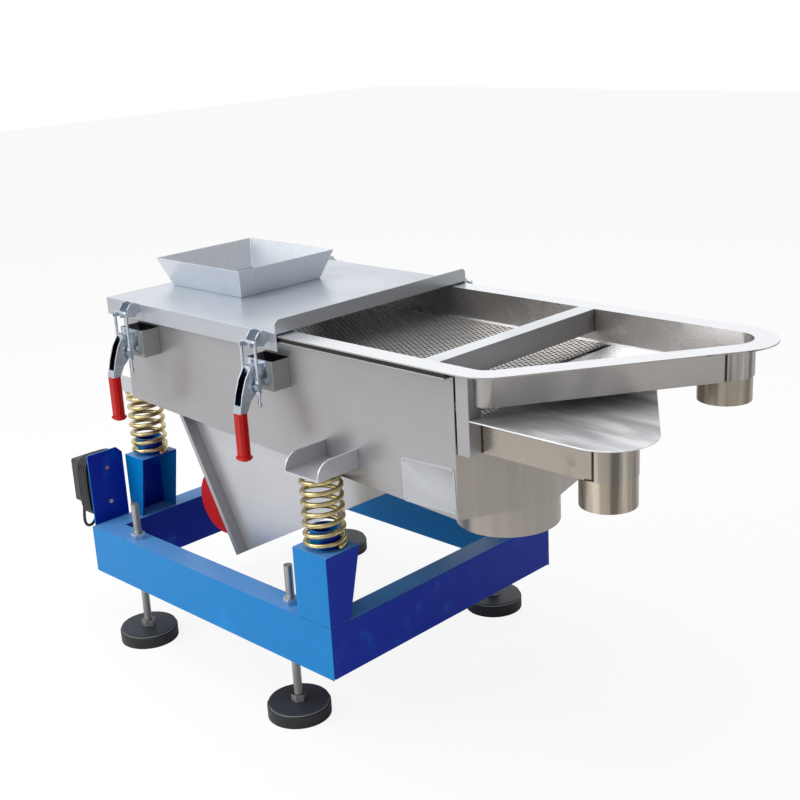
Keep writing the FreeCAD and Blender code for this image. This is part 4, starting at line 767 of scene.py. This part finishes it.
def rating_plate():
    """A bare plate held by four rivets on the near side."""
    width, height, sheet, corner = 118 * MM, 78 * MM, 0.8 * MM, 6 * MM
    from_end, above_floor, askew = 62 * MM, 512 * MM, math.radians(2)
    margin, bead, sunk = 3 * MM, 0.6 * MM, 0.35 * MM
    rivet, rivet_inset = 2.2 * MM, 6 * MM
    place, normal = on_side(box_end - from_end, above_floor, "side_plate_near", "bottom_chute")
    up = Vector((0, 0, 1)) - normal * normal.z
    across = up.normalized().cross(normal)
    turn = Matrix((across, normal.cross(across), normal)).transposed().to_4x4()
    lay = Matrix.Translation(place + normal * 0.2 * MM) @ turn @ Matrix.Rotation(askew, 4, "Z")
    shape = bmesh.new()
    corners = bmesh.ops.create_grid(shape, x_segments=1, y_segments=1, size=0.5,
                                    matrix=Matrix.Diagonal((width, height, 1, 1)))["verts"]
    bmesh.ops.bevel(shape, geom=corners, offset=corner, segments=4, profile=0.5, affect="VERTICES",
                    material=-1)
    raised = bmesh.ops.extrude_face_region(shape, geom=shape.faces[:])["geom"]
    bmesh.ops.translate(shape, verts=corners_of(raised), vec=(0, 0, sheet))
    face = max(shape.faces, key=lambda f: f.calc_center_median().z)
    bmesh.ops.inset_region(shape, faces=[face], thickness=margin, depth=0, use_even_offset=True)
    bmesh.ops.inset_region(shape, faces=[face], thickness=bead, depth=-sunk, use_even_offset=True)
    for x in (-1, 1):
        for y in (-1, 1):
            head = Matrix.Translation((x * (width / 2 - rivet_inset), y * (height / 2 - rivet_inset), sheet))
            bmesh.ops.create_uvsphere(shape, u_segments=12, v_segments=6, radius=rivet,
                                      matrix=head @ Matrix.Diagonal((1, 1, 0.5, 1)))
    bmesh.ops.transform(shape, matrix=lay, verts=shape.verts)
    bmesh.ops.recalc_face_normals(shape, faces=shape.faces)
    carrier = "side_plate_near"
    piece("rating_plate", shape, nodes[carrier]["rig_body"], plate_metal, slot_of(carrier))


rating_plate()


def leg_nuts():
    """A nut each side of the trunnion on both legs of every U-bolt, and the legs' rounded ends."""
    leg_inset, nut, thickness, rounded_end = 5 * MM, 5.8 * MM, 5 * MM, 4.4 * MM
    nut_heights = (26 * MM, 45 * MM)
    for name in corner_nodes("u_bolt"):
        low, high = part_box(name)
        y = (low.y + high.y) / 2
        shape = bmesh.new()
        for x in (low.x + leg_inset, high.x - leg_inset):
            for height in nut_heights:
                bmesh.ops.create_cone(shape, cap_ends=True, segments=6, radius1=nut, radius2=nut,
                                      depth=thickness, matrix=Matrix.Translation((x, y, low.z + height)))
            bmesh.ops.create_uvsphere(shape, u_segments=14, v_segments=8, radius=rounded_end,
                                      matrix=Matrix.Translation((x, y, low.z + 3 * MM)))
        obj = piece(f"{name}_nuts", shape, nodes[name]["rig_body"], plating, slot_of(name), (), 20)
        bevel = obj.modifiers.new("corners", "BEVEL")
        bevel.width = 0.5 * MM
        bevel.segments = 2
        bevel.limit_method = "ANGLE"


leg_nuts()


def grip_beads():
    """The flared bead at the end of every hand grip, in two lobes."""
    lobe = Matrix.Diagonal((8.5 * MM, 12.5 * MM, 4.4 * MM, 1))
    apart, above_end = 7 * MM, 4.5 * MM
    for name in corner_nodes("grip"):
        low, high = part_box(name)
        middle = (low + high) / 2
        shape = bmesh.new()
        for side in (-1, 1):
            place = Matrix.Translation((middle.x + side * apart, middle.y, low.z + above_end))
            bmesh.ops.create_uvsphere(shape, u_segments=20, v_segments=12, radius=1.0, matrix=place @ lobe)
        piece(f"{name}_bead", shape, nodes[name]["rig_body"], red_vinyl, slot_of(name), (), 60)


grip_beads()


# -------------------------------------------------------------------------------------------- springs


def coil(shape, centre, radius, wire, low, high, turns, steps=30):
    """Helical wire with a nearly closed turn at each end."""
    section = bmesh.ops.create_circle(shape, segments=10, radius=wire / 2)["verts"]
    start = Matrix.Translation(centre + Vector((radius, 0, low + wire / 2)))
    upright = Matrix.Rotation(math.pi / 2, 4, "X")
    bmesh.ops.transform(shape, matrix=start @ upright, verts=section)
    closed = wire + 0.6 * MM
    free = (high - low - wire - 2 * closed) / (turns - 2)
    geometry = list(section) + [e for e in shape.edges if all(v in section for v in e.verts)]
    for span, pitch in ((1, closed), (turns - 2, free), (1, closed)):
        count = span * steps
        made = bmesh.ops.spin(
            shape, geom=geometry, cent=centre, axis=(0, 0, 1), dvec=(0, 0, span * pitch / count),
            angle=span * 2 * math.pi, steps=count, use_merge=False, use_duplicate=False,
        )
        geometry = made["geom_last"]
    ends = [e for e in shape.edges if e.is_boundary]
    bmesh.ops.holes_fill(shape, edges=ends, sides=10)


def springs():
    """The four coils, stretched between the frame and the screen box."""
    low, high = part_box("springs")
    wire, outside, turns = 9 * MM, 39 * MM, 8
    discharge_x, hopper_x, hopper_y = high.x - 39.5 * MM, low.x + 38.5 * MM, 162 * MM
    shape = bmesh.new()
    for x, y in (
        (discharge_x, low.y + outside), (discharge_x, high.y - outside),
        (hopper_x, -hopper_y), (hopper_x, hopper_y),
    ):
        coil(shape, Vector((x, y, 0)), outside - wire / 2, wire, low.z, high.z, turns)
    bmesh.ops.recalc_face_normals(shape, faces=shape.faces)
    obj = shown("coil_springs", surface("coil_springs", shape, yellow_zinc))
    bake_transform(obj)
    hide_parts("springs")


springs()


# ------------------------------------------------------------------------------------- light and camera


FLOOR_WHITE = 0.88
# How bright the room is at its brightest and dimmest, as a light and as what metal mirrors.
ROOM_LIGHT = (0.66, 0.34)
ROOM_MIRRORED = (1.0, 0.45)
ROOM_FADE = (-0.1, 0.9)


def floor():
    """A pale floor that keeps the object's shadow."""
    shape = bmesh.new()
    bmesh.ops.create_grid(shape, x_segments=1, y_segments=1, size=12)
    pale = Finish("pale floor")
    pale.set(Base_Color=tone(250, 250, 250), Roughness=0.9)
    seen = pale.node("ShaderNodeLightPath", {}, out="Is Camera Ray")
    glow = pale.node("ShaderNodeEmission", {}, Strength=1.0)
    lit = Signal(pale, pale.shader.outputs[0])
    mixed = pale.node("ShaderNodeMixShader", {}, seen * FLOOR_WHITE, lit, glow)
    pale.feed(pale.tree.nodes["Material Output"].inputs["Surface"], mixed)
    shown("floor", surface("floor", shape, pale))


def lamp(name, place, target, size, power):
    """A flat lamp that faces its target."""
    data = bpy.data.lights.new(name, "AREA")
    data.shape = "RECTANGLE"
    data.size, data.size_y = size
    data.energy = power
    obj = shown(name, data)
    obj.location = place
    obj.rotation_euler = (Vector(target) - Vector(place)).to_track_quat("-Z", "Y").to_euler()


def surroundings():
    """A white room, greyer on the side behind the viewer's right hand, and dimmer as a light."""
    world = bpy.data.worlds.new("studio")
    bpy.context.scene.world = world
    world.use_nodes = True
    tree = world.node_tree
    background = tree.nodes["Background"]
    background.inputs["Color"].default_value = (1, 1, 1, 1)
    rays = tree.nodes.new("ShaderNodeLightPath")
    place = tree.nodes.new("ShaderNodeTexCoord")
    axes = tree.nodes.new("ShaderNodeSeparateXYZ")
    tree.links.new(place.outputs["Generated"], axes.inputs[0])

    def fade(brightest, dimmest):
        made = tree.nodes.new("ShaderNodeMapRange")
        ends = ("From Min", "From Max", "To Min", "To Max")
        for socket, value in zip(ends, (*ROOM_FADE, brightest, dimmest)):
            made.inputs[socket].default_value = value
        tree.links.new(axes.outputs["X"], made.inputs["Value"])
        return made.outputs[0]

    def choose(share, first, second):
        made = tree.nodes.new("ShaderNodeMix")
        for socket, value in zip(NUMBER_MIX, (share, first, second)):
            if isinstance(value, float):
                made.inputs[socket].default_value = value
            else:
                tree.links.new(value, made.inputs[socket])
        return made.outputs[0]

    mirrored = choose(rays.outputs["Is Glossy Ray"], fade(*ROOM_LIGHT), fade(*ROOM_MIRRORED))
    through = choose(rays.outputs["Is Transmission Ray"], mirrored, 1.0)
    tree.links.new(choose(rays.outputs["Is Camera Ray"], through, 1.0), background.inputs["Strength"])


def camera():
    """Looks down a little from the near discharge corner."""
    data = bpy.data.cameras.new("view")
    data.lens = 57.87
    data.sensor_width = 36
    azimuth, elevation, roll = (math.radians(a) for a in (45.02, 17.54, -3.03))
    level = Vector((-math.sin(azimuth), math.cos(azimuth), 0))
    ahead = level * math.cos(elevation) - Vector((0, 0, math.sin(elevation)))
    right = ahead.cross(Vector((0, 0, 1))).normalized()
    up = right.cross(ahead)
    across = right * math.cos(roll) + up * math.sin(roll)
    over = up * math.cos(roll) - right * math.sin(roll)
    turn = Matrix((across, over, -ahead)).transposed().to_4x4()
    obj = shown("view", data)
    obj.matrix_world = Matrix.Translation((1.6665, -1.634, 1.277)) @ turn
    bpy.context.scene.camera = obj


floor()
lamp("key", (-1.6, -3.2, 2.6), (0, 0, 0.4), (2.4, 1.8), 62)
lamp("top", (-0.4, -0.4, 3.2), (0, 0, 0.5), (2.6, 2.6), 46)
surroundings()
camera()
bpy.context.scene.view_settings.view_transform = "Standard"
